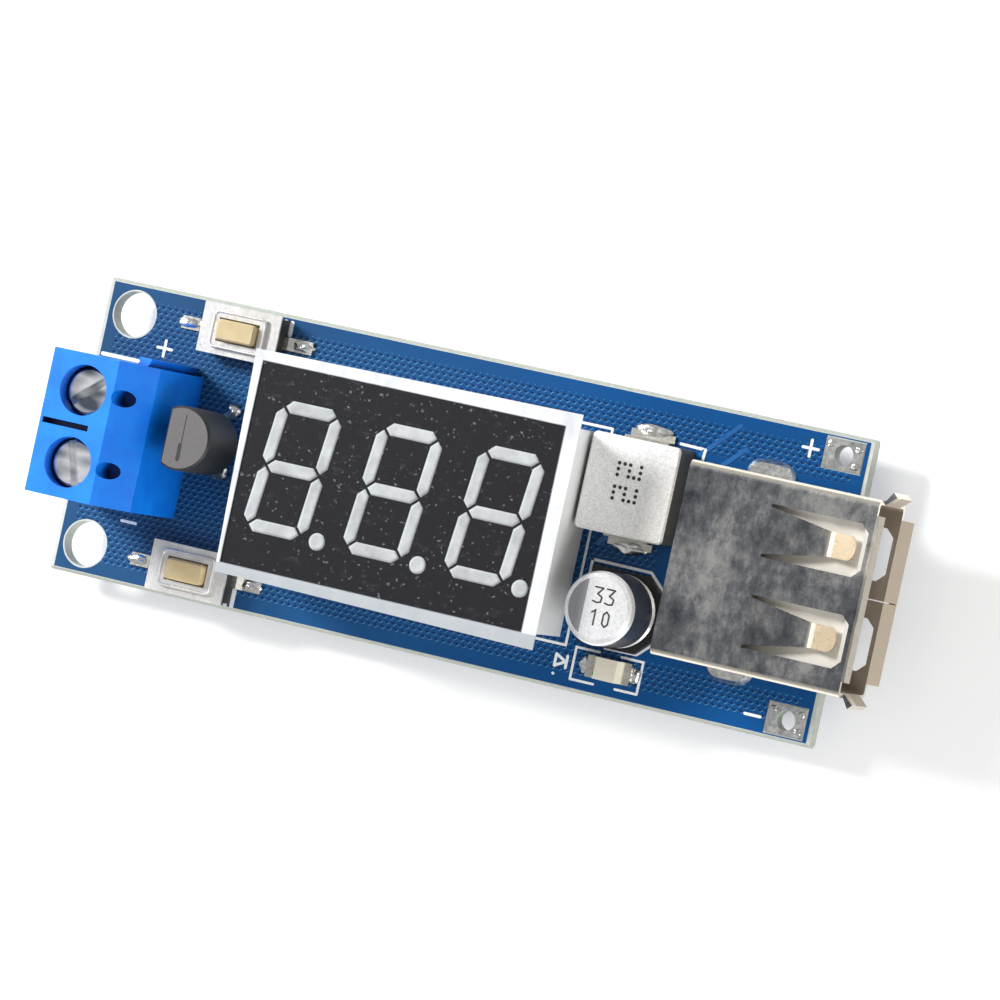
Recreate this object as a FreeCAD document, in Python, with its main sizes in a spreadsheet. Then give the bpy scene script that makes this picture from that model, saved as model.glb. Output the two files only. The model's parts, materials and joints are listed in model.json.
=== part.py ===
import FreeCAD, Part
import math
import operator
import os
import Sketcher
from FreeCAD import Placement, Rotation, Vector

# A small step-down power module with a voltmeter, a screw terminal and a socket,
# in millimetres. It rests on the tips of its through-hole leads at z = 0, component
# side up, with the long side along X and the socket's mouth towards +X.
# Places along X are given from the board's left end, places along Y from the
# board's centre line, and heights from the board's top face.

SIZES = [
    # board
    ("board_length", 57.2),
    ("board_width", 20.9),
    ("board_thickness", 1.2),
    ("score_width", 0.22),
    ("score_depth", 0.35),
    ("lead_reach", 2.0),
    ("mounting_radius", 1.6),
    ("mounting_inset_x", 2.25),
    ("mounting_inset_y", 2.25),
    ("lead_clearance", 0.12),
    # solder pads for the output wires
    ("pad_length", 2.7),
    ("pad_width", 2.05),
    ("pad_thickness", 0.08),
    ("pad_bore_radius", 0.68),
    ("pad_centre_x", 55.25),
    ("pad_inset_y", 1.45),
    # screw terminal
    ("terminal_front", 1.72),
    ("terminal_centre_y", -0.12),
    ("terminal_depth", 6.8),
    ("terminal_width", 10.0),
    ("terminal_height", 10.0),
    ("terminal_top_depth", 5.0),
    ("terminal_rear_height", 7.2),
    ("terminal_pitch", 5.0),
    ("screw_from_front", 2.75),
    ("well_radius", 1.75),
    ("head_gap", 0.12),
    ("head_top", 9.1),
    ("head_height", 0.8),
    ("driver_slot_width", 0.55),
    ("driver_slot_depth", 0.45),
    ("upper_slot_angle", 41.0),
    ("lower_slot_angle", -73.0),
    ("thread_radius", 1.45),
    ("thread_gap", 0.05),
    ("screw_point", 0.36),
    ("slot_overrun", 0.3),
    ("screw_end_gap", 0.05),
    ("ledge_thickness", 0.5),
    ("ledge_gap", 0.1),
    ("cage_depth", 3.7),
    ("cage_width", 4.0),
    ("cage_height", 5.2),
    ("cage_rest", 0.4),
    ("cage_top_plate", 1.0),
    ("cage_bottom_bar", 0.7),
    ("cage_side", 0.46),
    ("cage_gap", 0.15),
    ("contact_thickness", 0.6),
    ("contact_gap", 0.1),
    ("contact_pin_width", 1.0),
    ("entry_width", 3.0),
    ("entry_bottom", 0.9),
    ("entry_height", 3.6),
    ("entry_flare", 0.35),
    ("divider_slot_length", 3.5),
    ("divider_slot_width", 0.4),
    ("divider_slot_depth", 1.0),
    ("divider_slot_front", 0.2),
    ("probe_hole_radius", 0.57),
    ("probe_hole_from_front", 5.48),
    ("probe_hole_floor", 7.95),
    ("rail_out", 0.55),
    ("rail_root", 0.6),
    ("rail_tip", 1.0),
    ("rail_from_rear", 1.0),
    ("rail_height", 7.8),
    ("rail_gap", 0.05),
    # three-lead voltage reference that stands on its leads
    ("reference_flat_x", 10.2),
    ("reference_centre_y", 0.6),
    ("reference_radius", 2.22),
    ("reference_flat_offset", 1.12),
    ("reference_height", 4.7),
    ("reference_top", 7.9),
    ("reference_edge", 0.15),
    ("reference_lead_from_flat", 1.2),
    ("reference_lead_width", 0.45),
    ("reference_lead_thickness", 0.4),
    ("reference_lead_pitch", 1.27),
    ("reference_bend_top", 0.6),
    ("reference_bend_end", 2.2),
    ("reference_foot_pitch", 2.15),
    # push switches
    ("switch_centre_x", 11.1),
    ("switch_centre_y", 8.42),
    ("switch_length", 5.9),
    ("switch_width", 3.5),
    ("switch_cover_top", 1.6),
    ("switch_sheet", 0.18),
    ("switch_skirt", 0.95),
    ("switch_corner", 0.35),
    ("rim_height", 0.22),
    ("rim_length", 4.0),
    ("rim_width", 2.45),
    ("plunger_length", 2.9),
    ("plunger_width", 1.45),
    ("plunger_top", 2.35),
    ("plunger_corner", 0.3),
    ("plunger_gap", 0.1),
    ("flange_extra", 0.3),
    ("flange_thickness", 0.3),
    ("switch_floor", 0.45),
    ("dome_radius", 1.2),
    ("dome_height", 0.4),
    ("dome_thickness", 0.07),
    ("dome_gap", 0.03),
    ("leg_width", 0.9),
    ("leg_thickness", 0.2),
    ("leg_reach", 5.05),
    ("leg_exit_height", 0.5),
    ("leg_shoulder", 0.35),
    ("leg_slope", 0.4),
    ("leg_inner_bend", 0.17),
    # three-digit display
    ("display_left", 15.85),
    ("display_length", 22.5),
    ("display_width", 14.0),
    ("display_height", 7.2),
    ("display_wall", 0.8),
    ("display_back_depth", 1.6),
    ("display_fill_depth", 1.3),
    ("mask_thickness", 0.1),
    ("segment_depth", 0.7),
    ("segment_recess", 0.02),
    ("digit_pitch", 7.5),
    ("digit_centre", 3.83),
    ("digit_lift", 0.12),
    ("digit_height", 9.2),
    ("digit_width", 4.9),
    ("digit_stroke", 0.88),
    ("digit_bar_gap", 0.12),
    ("digit_slant", 0.105),
    ("dot_radius", 0.6),
    ("dot_offset_x", 2.85),
    ("dot_offset_y", -4.2),
    ("display_pin_pitch", 2.54),
    ("display_row_gap", 10.16),
    ("display_pin_size", 0.5),
    ("display_pin_thickness", 0.3),
    ("film_thickness", 0.1),
    ("film_left_top", 0.62),
    ("film_left_bottom", 0.2),
    ("film_right", 1.02),
    ("film_top_left", 0.68),
    ("film_top_right", 0.95),
    ("film_bottom_left", 0.68),
    ("film_bottom_right", 0.98),
    # moulded power inductor
    ("inductor_centre_x", 41.9),
    ("inductor_centre_y", 3.85),
    ("inductor_length", 6.4),
    ("inductor_width", 6.6),
    ("inductor_height", 3.0),
    ("inductor_standoff", 0.1),
    ("inductor_corner", 0.35),
    ("inductor_edge", 0.12),
    ("inductor_tab_width", 3.2),
    ("inductor_tab_thickness", 0.18),
    ("inductor_tab_rise", 1.3),
    ("inductor_tab_foot", 0.9),
    ("inductor_tab_toe", 0.5),
    # aluminium capacitor
    ("capacitor_centre_x", 42.55),
    ("capacitor_centre_y", -4.35),
    ("capacitor_radius", 2.5),
    ("capacitor_height", 5.4),
    ("capacitor_base", 5.3),
    ("capacitor_base_height", 0.9),
    ("capacitor_base_chamfer", 1.2),
    ("capacitor_seat_depth", 0.35),
    ("capacitor_seat_gap", 0.04),
    ("capacitor_bead_height", 1.35),
    ("capacitor_bead_radius", 0.3),
    ("capacitor_shoulder", 0.4),
    ("capacitor_tab_width", 0.7),
    ("capacitor_tab_thickness", 0.2),
    ("capacitor_tab_reach", 0.55),
    # indicator lamp
    ("indicator_centre_x", 42.4),
    ("indicator_centre_y", -8.43),
    ("indicator_length", 3.2),
    ("indicator_width", 1.5),
    ("indicator_base_height", 0.45),
    ("indicator_height", 1.1),
    ("indicator_lens_length", 2.0),
    ("indicator_end", 0.5),
    # socket shell, a folded sheet
    ("socket_back", 47.25),
    ("socket_centre_y", 0.1),
    ("socket_depth", 13.3),
    ("socket_width", 13.1),
    ("socket_top", 6.85),
    ("socket_height", 5.75),
    ("socket_sheet", 0.3),
    ("socket_bend", 0.55),
    ("flare_reach", 0.7),
    ("flare_out", 0.65),
    ("flare_from_side", 1.05),
    ("flare_side_width", 3.3),
    ("seam_width", 0.08),
    ("window_front", 0.3),
    ("window_from_back", 6.1),
    ("window_width", 3.55),
    ("window_centre", 3.03),
    ("window_corner", 0.55),
    ("finger_tip_from_front", 1.55),
    ("finger_bend_from_front", 2.95),
    ("finger_tip_width", 1.65),
    ("finger_dip", 0.55),
    ("finger_lift", 0.3),
    ("finger_slot_start", 0.2),
    ("socket_leg_from_back", 3.35),
    ("socket_leg_width", 1.9),
    ("leg_ring_length", 3.6),
    ("leg_ring_width", 2.5),
    ("leg_ring_height", 0.45),
    # insulator and contacts inside the socket
    ("insulator_gap", 0.05),
    ("insulator_block", 3.6),
    ("insulator_foot_from_side", 1.75),
    ("rear_opening_height", 1.8),
    ("tongue_from_side", 1.0),
    ("tongue_thickness", 1.84),
    ("tongue_top_gap", 0.75),
    ("tongue_setback", 0.9),
    ("blade_width", 1.0),
    ("blade_thickness", 0.25),
    ("blade_setback", 1.6),
    ("blade_inner_y", 1.0),
    ("blade_outer_y", 3.5),
    ("blade_pin_from_back", 0.75),
    # underside
    ("solder_radius_small", 0.64),
    ("solder_radius_wide", 0.82),
    ("solder_radius_large", 0.94),
    ("solder_taper", 18.0),
    ("solder_height", 0.75),
    ("converter_centre_x", 42.6),
    ("converter_centre_y", 0.6),
    ("converter_length", 4.9),
    ("converter_width", 3.9),
    ("converter_height", 1.45),
    ("controller_centre_x", 27.1),
    ("controller_length", 6.5),
    ("controller_width", 4.4),
    ("controller_height", 1.05),
    ("chip_standoff", 0.1),
    ("gull_thickness", 0.2),
    ("gull_reach", 1.0),
    ("gull_foot", 0.55),
    ("converter_pitch", 1.27),
    ("converter_lead_width", 0.42),
    ("controller_pitch", 0.8),
    ("controller_lead_width", 0.32),
    ("ceramic_before_converter", 6.2),
    ("ceramic_after_converter", 7.7),
    ("ceramic_spread", 2.6),
    ("ceramic_before_controller", 9.6),
    ("resistor_from_controller", 6.4),
    ("resistor_spread", 1.6),
    ("ceramic_length", 3.2),
    ("ceramic_width", 1.6),
    ("ceramic_height", 1.2),
    ("resistor_length", 1.6),
    ("resistor_width", 0.8),
    ("resistor_height", 0.45),
]

OPERATIONS = {"+": operator.add, "-": operator.sub, "*": operator.mul, "/": operator.truediv}


class Size:
    """A length that knows both its number and the sheet expression it comes from."""

    def __init__(self, text, value):
        self.text = text
        self.value = value

    def __add__(self, other):
        return combine(self, "+", other)

    def __radd__(self, other):
        return combine(other, "+", self)

    def __sub__(self, other):
        return combine(self, "-", other)

    def __rsub__(self, other):
        return combine(other, "-", self)

    def __mul__(self, other):
        return combine(self, "*", other)

    def __rmul__(self, other):
        return combine(other, "*", self)

    def __truediv__(self, other):
        return combine(self, "/", other)

    def __neg__(self):
        return combine(0, "-", self)


def as_size(thing):
    """The size itself, or a plain number made into one."""
    return thing if isinstance(thing, Size) else Size(repr(thing), thing)


def combine(left, sign, right):
    """Two sizes joined by a sign, as expression and as number."""
    left = as_size(left)
    right = as_size(right)
    return Size(f"({left.text} {sign} {right.text})", OPERATIONS[sign](left.value, right.value))


class Sheet:
    """The driving dimensions: spreadsheet cells, read back as sizes by name."""

    def __init__(self, document, sizes):
        cells = document.addObject("Spreadsheet::Sheet", "Sizes")
        for row, (alias, value) in enumerate(sizes, start=1):
            cells.set(f"A{row}", alias)
            cells.set(f"B{row}", str(value))
            cells.setAlias(f"B{row}", alias)
            setattr(self, alias, Size(f"Sizes.{alias}", value))


doc = FreeCAD.newDocument("module")
S = Sheet(doc, SIZES)
doc.recompute()
nodes = {}

# Places shared by many pieces
OVERALL_LENGTH = S.socket_back + S.socket_depth + S.flare_reach
BOARD_LEFT = -(OVERALL_LENGTH / 2)
BOARD_TOP = S.lead_reach + S.board_thickness
BOARD_UNDER = S.lead_reach


def bind(thing, prop, size):
    """Ties a property to the sheet."""
    thing.setExpression(prop, as_size(size).text)


def seat(thing, x=0, y=0, z=0):
    """Places a sub-part: x from the board's left end, z from the board's top face."""
    bind(thing, ".Placement.Base.x", BOARD_LEFT + x)
    bind(thing, ".Placement.Base.y", y)
    bind(thing, ".Placement.Base.z", BOARD_TOP + z)
    return thing


def move(thing, x=0, y=0, z=0):
    """Places a feature in its sub-part's own coordinates."""
    for axis, size in zip("xyz", (x, y, z)):
        bind(thing, ".Placement.Base." + axis, size)
    return thing


def keep(name, thing):
    """Names a finished sub-part; the name is its node and its file."""
    thing.Label = name
    nodes[name] = thing
    return thing


def block(name, corner, size):
    """A box from its low corner and its three sides."""
    box = doc.addObject("Part::Box", name)
    for prop, side in zip(("Length", "Width", "Height"), size):
        bind(box, prop, side)
    return move(box, *corner)


def middle_block(name, centre, base_z, size):
    """A box centred on a point in plan, standing on a height."""
    corner = (centre[0] - size[0] / 2, centre[1] - size[1] / 2, base_z)
    return block(name, corner, size)


def rod(name, radius, height, base):
    """A cylinder along Z."""
    cylinder = doc.addObject("Part::Cylinder", name)
    bind(cylinder, "Radius", radius)
    bind(cylinder, "Height", height)
    return move(cylinder, *base)


def cut(name, solid, tool):
    """One solid less another."""
    result = doc.addObject("Part::Cut", name)
    result.Base = solid
    result.Tool = tool
    return result


def common(name, one, other):
    """What two solids share."""
    result = doc.addObject("Part::Common", name)
    result.Base = one
    result.Tool = other
    return result


def fuse(name, parts):
    """Several solids joined to one."""
    result = doc.addObject("Part::MultiFuse", name)
    result.Shapes = parts
    result.Refine = True
    return result


def group(name, parts):
    """Separate like solids in one sub-part."""
    result = doc.addObject("Part::Compound", name)
    result.Links = parts
    return result


def place_point(sketch, index, end, point):
    """Ties one end of a sketch element to two sizes."""
    for kind, size in zip(("DistanceX", "DistanceY"), point):
        size = as_size(size)
        number = sketch.addConstraint(Sketcher.Constraint(kind, -1, 1, index, end, size.value))
        sketch.setExpression(f"Constraints[{number}]", size.text)


def draw_outline(sketch, points):
    """A closed outline of straight lines through points given as pairs of sizes."""
    flat = [Vector(as_size(u).value, as_size(v).value, 0) for u, v in points]
    count = len(flat)
    first = sketch.GeometryCount
    for i in range(count):
        sketch.addGeometry(Part.LineSegment(flat[i], flat[(i + 1) % count]), False)
    joins = []
    for i in range(count):
        joins.append(Sketcher.Constraint("Coincident", first + i, 2, first + (i + 1) % count, 1))
    sketch.addConstraint(joins)
    for i, point in enumerate(points):
        place_point(sketch, first + i, 1, point)


def draw_circle(sketch, centre, radius):
    """A circle from its centre and radius."""
    radius = as_size(radius)
    middle = Vector(as_size(centre[0]).value, as_size(centre[1]).value, 0)
    index = sketch.addGeometry(Part.Circle(middle, Vector(0, 0, 1), radius.value), False)
    place_point(sketch, index, 3, centre)
    number = sketch.addConstraint(Sketcher.Constraint("Radius", index, radius.value))
    sketch.setExpression(f"Constraints[{number}]", radius.text)


def eight_sides(x, y, radius):
    """The corners of a regular outline with eight sides."""
    corners = []
    for step in range(8):
        angle = math.radians(45 * step + 22.5)
        corners.append((x + radius * math.cos(angle), y + radius * math.sin(angle)))
    return corners


def draw_lead_hole(sketch, place, radius):
    """A drilled lead hole, drawn with eight sides that touch its circle from outside."""
    draw_outline(sketch, eight_sides(place[0], place[1], radius / math.cos(math.radians(22.5))))


def draw_slot(sketch, centre, length, width, along_x=True):
    """A slot with round ends, its straight sides along X or Y of the sketch."""
    half = (length - width) / 2
    radius = width / 2
    u, v = centre
    if along_x:
        ends = [(u - half, v), (u + half, v)]
        turns = [(90, 270), (270, 450)]
    else:
        ends = [(u, v - half), (u, v + half)]
        turns = [(180, 360), (0, 180)]
    arcs = []
    for (a, b), (start, stop) in zip(ends, turns):
        middle = Vector(as_size(a).value, as_size(b).value, 0)
        circle = Part.Circle(middle, Vector(0, 0, 1), radius.value)
        arc = Part.ArcOfCircle(circle, math.radians(start), math.radians(stop))
        index = sketch.addGeometry(arc, False)
        place_point(sketch, index, 3, (a, b))
        arcs.append(index)
    geometry = sketch.Geometry
    one = sketch.addGeometry(Part.LineSegment(geometry[arcs[0]].EndPoint, geometry[arcs[1]].StartPoint))
    two = sketch.addGeometry(Part.LineSegment(geometry[arcs[1]].EndPoint, geometry[arcs[0]].StartPoint))
    for line, start, stop in ((one, arcs[0], arcs[1]), (two, arcs[1], arcs[0])):
        sketch.addConstraint(Sketcher.Constraint("Tangent", start, 2, line, 1))
        sketch.addConstraint(Sketcher.Constraint("Tangent", line, 2, stop, 1))
    number = sketch.addConstraint(Sketcher.Constraint("Radius", arcs[0], radius.value))
    sketch.setExpression(f"Constraints[{number}]", radius.text)


TURNS = {
    "XY": Rotation(),
    "XZ": Rotation(Vector(1, 0, 0), 90),
    "YZ": Rotation(Vector(1, 1, 1), 120),
}
RISES = {"XY": Vector(0, 0, 1), "XZ": Vector(0, 1, 0), "YZ": Vector(1, 0, 0)}
LEVELS = {"XY": "z", "XZ": "y", "YZ": "x"}


def prism(name, plane, outline, start, length):
    """An outline in a plane, carried along the plane's third axis from a level."""
    sketch = doc.addObject("Sketcher::SketchObject", name + "_outline")
    sketch.Placement = Placement(Vector(), TURNS[plane])
    bind(sketch, ".Placement.Base." + LEVELS[plane], start)
    draw_outline(sketch, outline)
    solid = doc.addObject("Part::Extrusion", name)
    solid.Base = sketch
    solid.DirMode = "Custom"
    solid.Dir = RISES[plane]
    solid.Solid = True
    bind(solid, "LengthFwd", length)
    return solid


def new_body(name):
    """A body for a piece that is built up from sketches."""
    return doc.addObject("PartDesign::Body", name)


def body_sketch(body, role, level=0):
    """An empty sketch on one of the body's own origin planes, lifted to a level."""
    sketch = body.newObject("Sketcher::SketchObject", body.Name + "_sketch")
    for feature in body.Origin.OriginFeatures:
        if feature.Role == role:
            sketch.AttachmentSupport = [(feature, "")]
    sketch.MapMode = "FlatFace"
    bind(sketch, ".AttachmentOffset.Base.z", level)
    return sketch


def pad(body, sketch, length, both_ways=False):
    """Carries a sketch out into a solid."""
    feature = body.newObject("PartDesign::Pad", body.Name + "_pad")
    feature.Profile = sketch
    bind(feature, "Length", length)
    if both_ways:
        feature.Midplane = True
    sketch.Visibility = False
    return feature


def pocket(body, sketch, depth=None, both_ways=False):
    """Cuts a sketch into the body, to a depth or right through."""
    feature = body.newObject("PartDesign::Pocket", body.Name + "_pocket")
    feature.Profile = sketch
    if depth is None:
        feature.Type = "ThroughAll"
    else:
        bind(feature, "Length", depth)
    if both_ways:
        feature.Midplane = True
    return feature


def revolve(body, sketch):
    """Turns a sketch about its own upright axis."""
    feature = body.newObject("PartDesign::Revolution", body.Name + "_turned")
    feature.Profile = sketch
    feature.ReferenceAxis = (sketch, ["V_Axis"])
    feature.Angle = 360
    return feature


def edge_names(feature, test):
    """The names of a feature's edges that pass a test on their middle and direction."""
    names = []
    for number, edge in enumerate(feature.Shape.Edges, start=1):
        if test(edge):
            names.append(f"Edge{number}")
    return names


def is_upright(edge):
    """True for a straight edge along Z."""
    start = edge.Vertexes[0].Point
    end = edge.Vertexes[-1].Point
    return abs(start.x - end.x) < 1e-6 and abs(start.y - end.y) < 1e-6 and abs(start.z - end.z) > 1e-6


def at_height(edge, height):
    """True for an edge that lies level at a height."""
    box = edge.BoundBox
    return abs(box.ZMin - height) < 1e-6 and abs(box.ZMax - height) < 1e-6


def round_edges(body, kind, test, amount):
    """Adds a fillet or chamfer to the edges of the body's last feature that pass a test."""
    doc.recompute()
    base = body.Tip
    feature = body.newObject("PartDesign::" + kind, body.Name + "_" + kind.lower())
    feature.Base = (base, edge_names(base, test))
    bind(feature, "Radius" if kind == "Fillet" else "Size", amount)
    return feature


# Board: scored along its long sides, drilled for screws and leads
MOUNTING_Y = S.board_width / 2 - S.mounting_inset_y
PAD_Y = S.board_width / 2 - S.pad_inset_y
REFERENCE_LEAD_X = S.reference_flat_x + S.reference_lead_from_flat
REFERENCE_HOLE = S.reference_lead_width / 2 + S.lead_clearance + 0.08
CONTACT_LEG_X = S.terminal_front + S.screw_from_front + S.cage_depth / 2 + S.cage_gap
CONTACT_PIN_X = CONTACT_LEG_X + S.contact_thickness / 2
DISPLAY_CENTRE_X = S.display_left + S.display_length / 2
SOCKET_PIN_X = S.socket_back + S.blade_pin_from_back
SOCKET_LEG_X = S.socket_back + S.socket_leg_from_back
SOCKET_LEG_Y = S.socket_width / 2 - S.socket_sheet / 2
TERMINAL_SIDES = {"upper": 1, "lower": -1}


def terminal_y(side):
    """The centre line of one of the two clamps."""
    return S.terminal_centre_y + S.terminal_pitch / 2 * TERMINAL_SIDES[side]


def display_pin_places():
    """Two rows of six pins under the display."""
    places = []
    for row in (-1, 1):
        for column in range(6):
            x = DISPLAY_CENTRE_X + S.display_pin_pitch * (column - 2.5)
            places.append((x, S.display_row_gap / 2 * row))
    return places


def socket_pin_places():
    """Four contact pins in a row behind the socket's legs."""
    rows = (-S.blade_outer_y, -S.blade_inner_y, S.blade_inner_y, S.blade_outer_y)
    return [(SOCKET_PIN_X, S.socket_centre_y + y) for y in rows]


def reference_lead_places():
    """Three lead holes of the voltage reference, spread wider than its body."""
    steps = (-1, 0, 1)
    return [(REFERENCE_LEAD_X, S.reference_centre_y + S.reference_foot_pitch * k) for k in steps]


def make_board():
    body = new_body("board_body")
    outline = body_sketch(body, "YZ_Plane")
    half = S.board_width / 2
    face = half - S.score_width
    low = S.score_depth
    high = S.board_thickness - S.score_depth
    draw_outline(outline, [
        (-face, 0), (face, 0), (half, low), (half, high),
        (face, S.board_thickness), (-face, S.board_thickness), (-half, high), (-half, low),
    ])
    pad(body, outline, S.board_length)
    holes = body_sketch(body, "XY_Plane", S.board_thickness)
    for side in (-1, 1):
        draw_circle(holes, (S.mounting_inset_x, MOUNTING_Y * side), S.mounting_radius)
        draw_circle(holes, (S.pad_centre_x, PAD_Y * side), S.pad_bore_radius)
        slot_y = S.socket_centre_y + SOCKET_LEG_Y * side
        slot_length = S.socket_leg_width + S.lead_clearance * 4
        draw_slot(holes, (SOCKET_LEG_X, slot_y), slot_length, S.socket_sheet + S.lead_clearance * 4)
    for side in TERMINAL_SIDES:
        radius = S.contact_pin_width / 2 + S.lead_clearance
        draw_lead_hole(holes, (CONTACT_PIN_X, terminal_y(side)), radius)
    for place in reference_lead_places():
        draw_lead_hole(holes, place, REFERENCE_HOLE)
    for place in display_pin_places():
        draw_lead_hole(holes, place, S.display_pin_size / 2 + S.lead_clearance)
    for place in socket_pin_places():
        draw_lead_hole(holes, place, S.blade_width / 2 + S.lead_clearance)
    pocket(body, holes)
    seat(body, z=-S.board_thickness)
    keep("circuit_board", body)


def make_output_pads():
    """Tinned square pads, one on each face of the board, round one wire hole."""
    for name, side in (("output_pad_positive", 1), ("output_pad_negative", -1)):
        size = (S.pad_length, S.pad_width, S.pad_thickness)
        plates = []
        for face, level in (("top", as_size(0)), ("under", -S.board_thickness - S.pad_thickness)):
            plate = middle_block(f"{name}_{face}", (0, 0), level, size)
            base = (0, 0, level - S.pad_thickness)
            bore = rod(f"{name}_{face}_bore", S.pad_bore_radius, S.pad_thickness * 3, base)
            plates.append(cut(f"{name}_{face}_plate", plate, bore))
        pads = group(name + "_plates", plates)
        seat(pads, S.pad_centre_x, PAD_Y * side)
        keep(name, pads)


# Screw terminal: moulded housing, two captive screws, two rising cages, two contacts
LEDGE_TOP = S.head_top - S.head_height - S.screw_end_gap
CHAMBER_TOP = LEDGE_TOP - S.ledge_thickness
HEAD_RADIUS = S.well_radius - S.head_gap
CAGE_FRONT = S.screw_from_front - S.cage_depth / 2
CAGE_REAR = S.screw_from_front + S.cage_depth / 2
OPENING_TOP = S.cage_rest + S.cage_height - S.cage_top_plate
CONTACT_TOP = OPENING_TOP - S.contact_gap
CONTACT_WIDTH = S.cage_width - S.cage_side * 2 - S.contact_gap * 2
CHAMBER_WIDTH = S.cage_width + S.cage_gap * 2
CONTACT_REAR = CAGE_REAR + S.cage_gap + S.contact_thickness


def make_terminal_housing():
    body = new_body("terminal_body")
    profile = body_sketch(body, "XZ_Plane")
    draw_outline(profile, [
        (0, 0), (S.terminal_depth, 0), (S.terminal_depth, S.terminal_rear_height),
        (S.terminal_top_depth, S.terminal_height), (0, S.terminal_height),
    ])
    pad(body, profile, S.terminal_width, both_ways=True)

    rail_y = S.terminal_width / 2
    rail_x = S.terminal_depth - S.rail_from_rear
    rail = body_sketch(body, "XY_Plane")
    draw_outline(rail, [
        (rail_x - S.rail_root / 2, rail_y), (rail_x - S.rail_tip / 2, rail_y + S.rail_out),
        (rail_x + S.rail_tip / 2, rail_y + S.rail_out), (rail_x + S.rail_root / 2, rail_y),
    ])
    pad(body, rail, S.rail_height)

    groove = body_sketch(body, "XY_Plane", S.rail_height + S.rail_gap)
    root = S.rail_root / 2 + S.rail_gap
    tip = S.rail_tip / 2 + S.rail_gap
    depth = S.rail_out + S.rail_gap
    draw_outline(groove, [
        (rail_x - root, -rail_y), (rail_x - tip, -rail_y + depth),
        (rail_x + tip, -rail_y + depth), (rail_x + root, -rail_y),
    ])
    pocket(body, groove, S.rail_height + S.rail_gap)

    divider = body_sketch(body, "XY_Plane", S.terminal_height)
    low_x = S.divider_slot_front
    high_x = S.divider_slot_front + S.divider_slot_length
    side = S.divider_slot_width / 2
    draw_outline(divider, [(low_x, -side), (high_x, -side), (high_x, side), (low_x, side)])
    pocket(body, divider, S.divider_slot_depth)

    for row in (-1, 1):
        y = S.terminal_pitch / 2 * row
        well = body_sketch(body, "XY_Plane", S.terminal_height)
        draw_circle(well, (S.screw_from_front, y), S.well_radius)
        pocket(body, well, S.terminal_height - LEDGE_TOP)
        neck = body_sketch(body, "XY_Plane", LEDGE_TOP)
        draw_circle(neck, (S.screw_from_front, y), S.thread_radius + S.ledge_gap)
        pocket(body, neck, S.ledge_thickness)
        chamber = body_sketch(body, "XY_Plane", CHAMBER_TOP)
        near = CAGE_FRONT - S.cage_gap
        side = CHAMBER_WIDTH / 2
        draw_outline(chamber, [
            (near, y - side), (CONTACT_REAR, y - side), (CONTACT_REAR, y + side), (near, y + side),
        ])
        pocket(body, chamber, CHAMBER_TOP)
        probe = body_sketch(body, "XY_Plane", S.terminal_height)
        draw_circle(probe, (S.probe_hole_from_front, y), S.probe_hole_radius)
        pocket(body, probe, S.terminal_height - S.probe_hole_floor)
        entry = body_sketch(body, "YZ_Plane", CAGE_FRONT)
        low = S.entry_bottom
        high = S.entry_bottom + S.entry_height
        side = S.entry_width / 2
        draw_outline(entry, [(y - side, low), (y + side, low), (y + side, high), (y - side, high)])
        pocket(body, entry, CAGE_FRONT)
    seat(body, S.terminal_front, S.terminal_centre_y)

    low = S.entry_bottom.value
    high = low + S.entry_height.value

    def entry_rim(edge):
        box = edge.BoundBox
        level = low - 1e-6 < box.ZMin and box.ZMax < high + 1e-6
        return level and box.XMax < 1e-6

    round_edges(body, "Chamfer", entry_rim, S.entry_flare)
    keep("terminal_housing", body)


def make_terminal_screw(side):
    """A slotted screw: turned blank with the driver slot cut across its head."""
    body = new_body(side + "_screw_body")
    profile = body_sketch(body, "XZ_Plane")
    tip = CONTACT_TOP + S.screw_end_gap
    neck = S.head_top - S.head_height
    point = S.screw_point
    draw_outline(profile, [
        (0, tip), (S.thread_radius - point, tip), (S.thread_radius, tip + point),
        (S.thread_radius, neck), (HEAD_RADIUS, neck),
        (HEAD_RADIUS, S.head_top - point / 2), (HEAD_RADIUS - point / 2, S.head_top), (0, S.head_top),
    ])
    revolve(body, profile)
    slot = body_sketch(body, "XY_Plane", S.head_top)
    reach = HEAD_RADIUS + S.slot_overrun
    half = S.driver_slot_width / 2
    draw_outline(slot, [(-reach, -half), (reach, -half), (reach, half), (-reach, half)])
    pocket(body, slot, S.driver_slot_depth)
    seat(body, S.terminal_front + S.screw_from_front, terminal_y(side))
    angle = S.upper_slot_angle if side == "upper" else S.lower_slot_angle
    bind(body, ".Placement.Rotation.Angle", angle)
    keep(side + "_terminal_screw", body)


def make_clamp_cage(side):
    """A loop that the screw lifts: threaded top plate, two sides and a bottom bar."""
    body = new_body(side + "_cage_body")
    loop = body_sketch(body, "YZ_Plane")
    outer = S.cage_width / 2
    inner = outer - S.cage_side
    low = S.cage_rest
    high = S.cage_rest + S.cage_height
    draw_outline(loop, [(-outer, low), (outer, low), (outer, high), (-outer, high)])
    bar = low + S.cage_bottom_bar
    draw_outline(loop, [(-inner, bar), (inner, bar), (inner, OPENING_TOP), (-inner, OPENING_TOP)])
    pad(body, loop, S.cage_depth, both_ways=True)
    bore = body_sketch(body, "XY_Plane", high)
    draw_circle(bore, (0, 0), S.thread_radius + S.thread_gap)
    pocket(body, bore, S.cage_top_plate + S.contact_gap)
    seat(body, S.terminal_front + S.screw_from_front, terminal_y(side))
    keep(side + "_clamp_cage", body)


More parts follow.
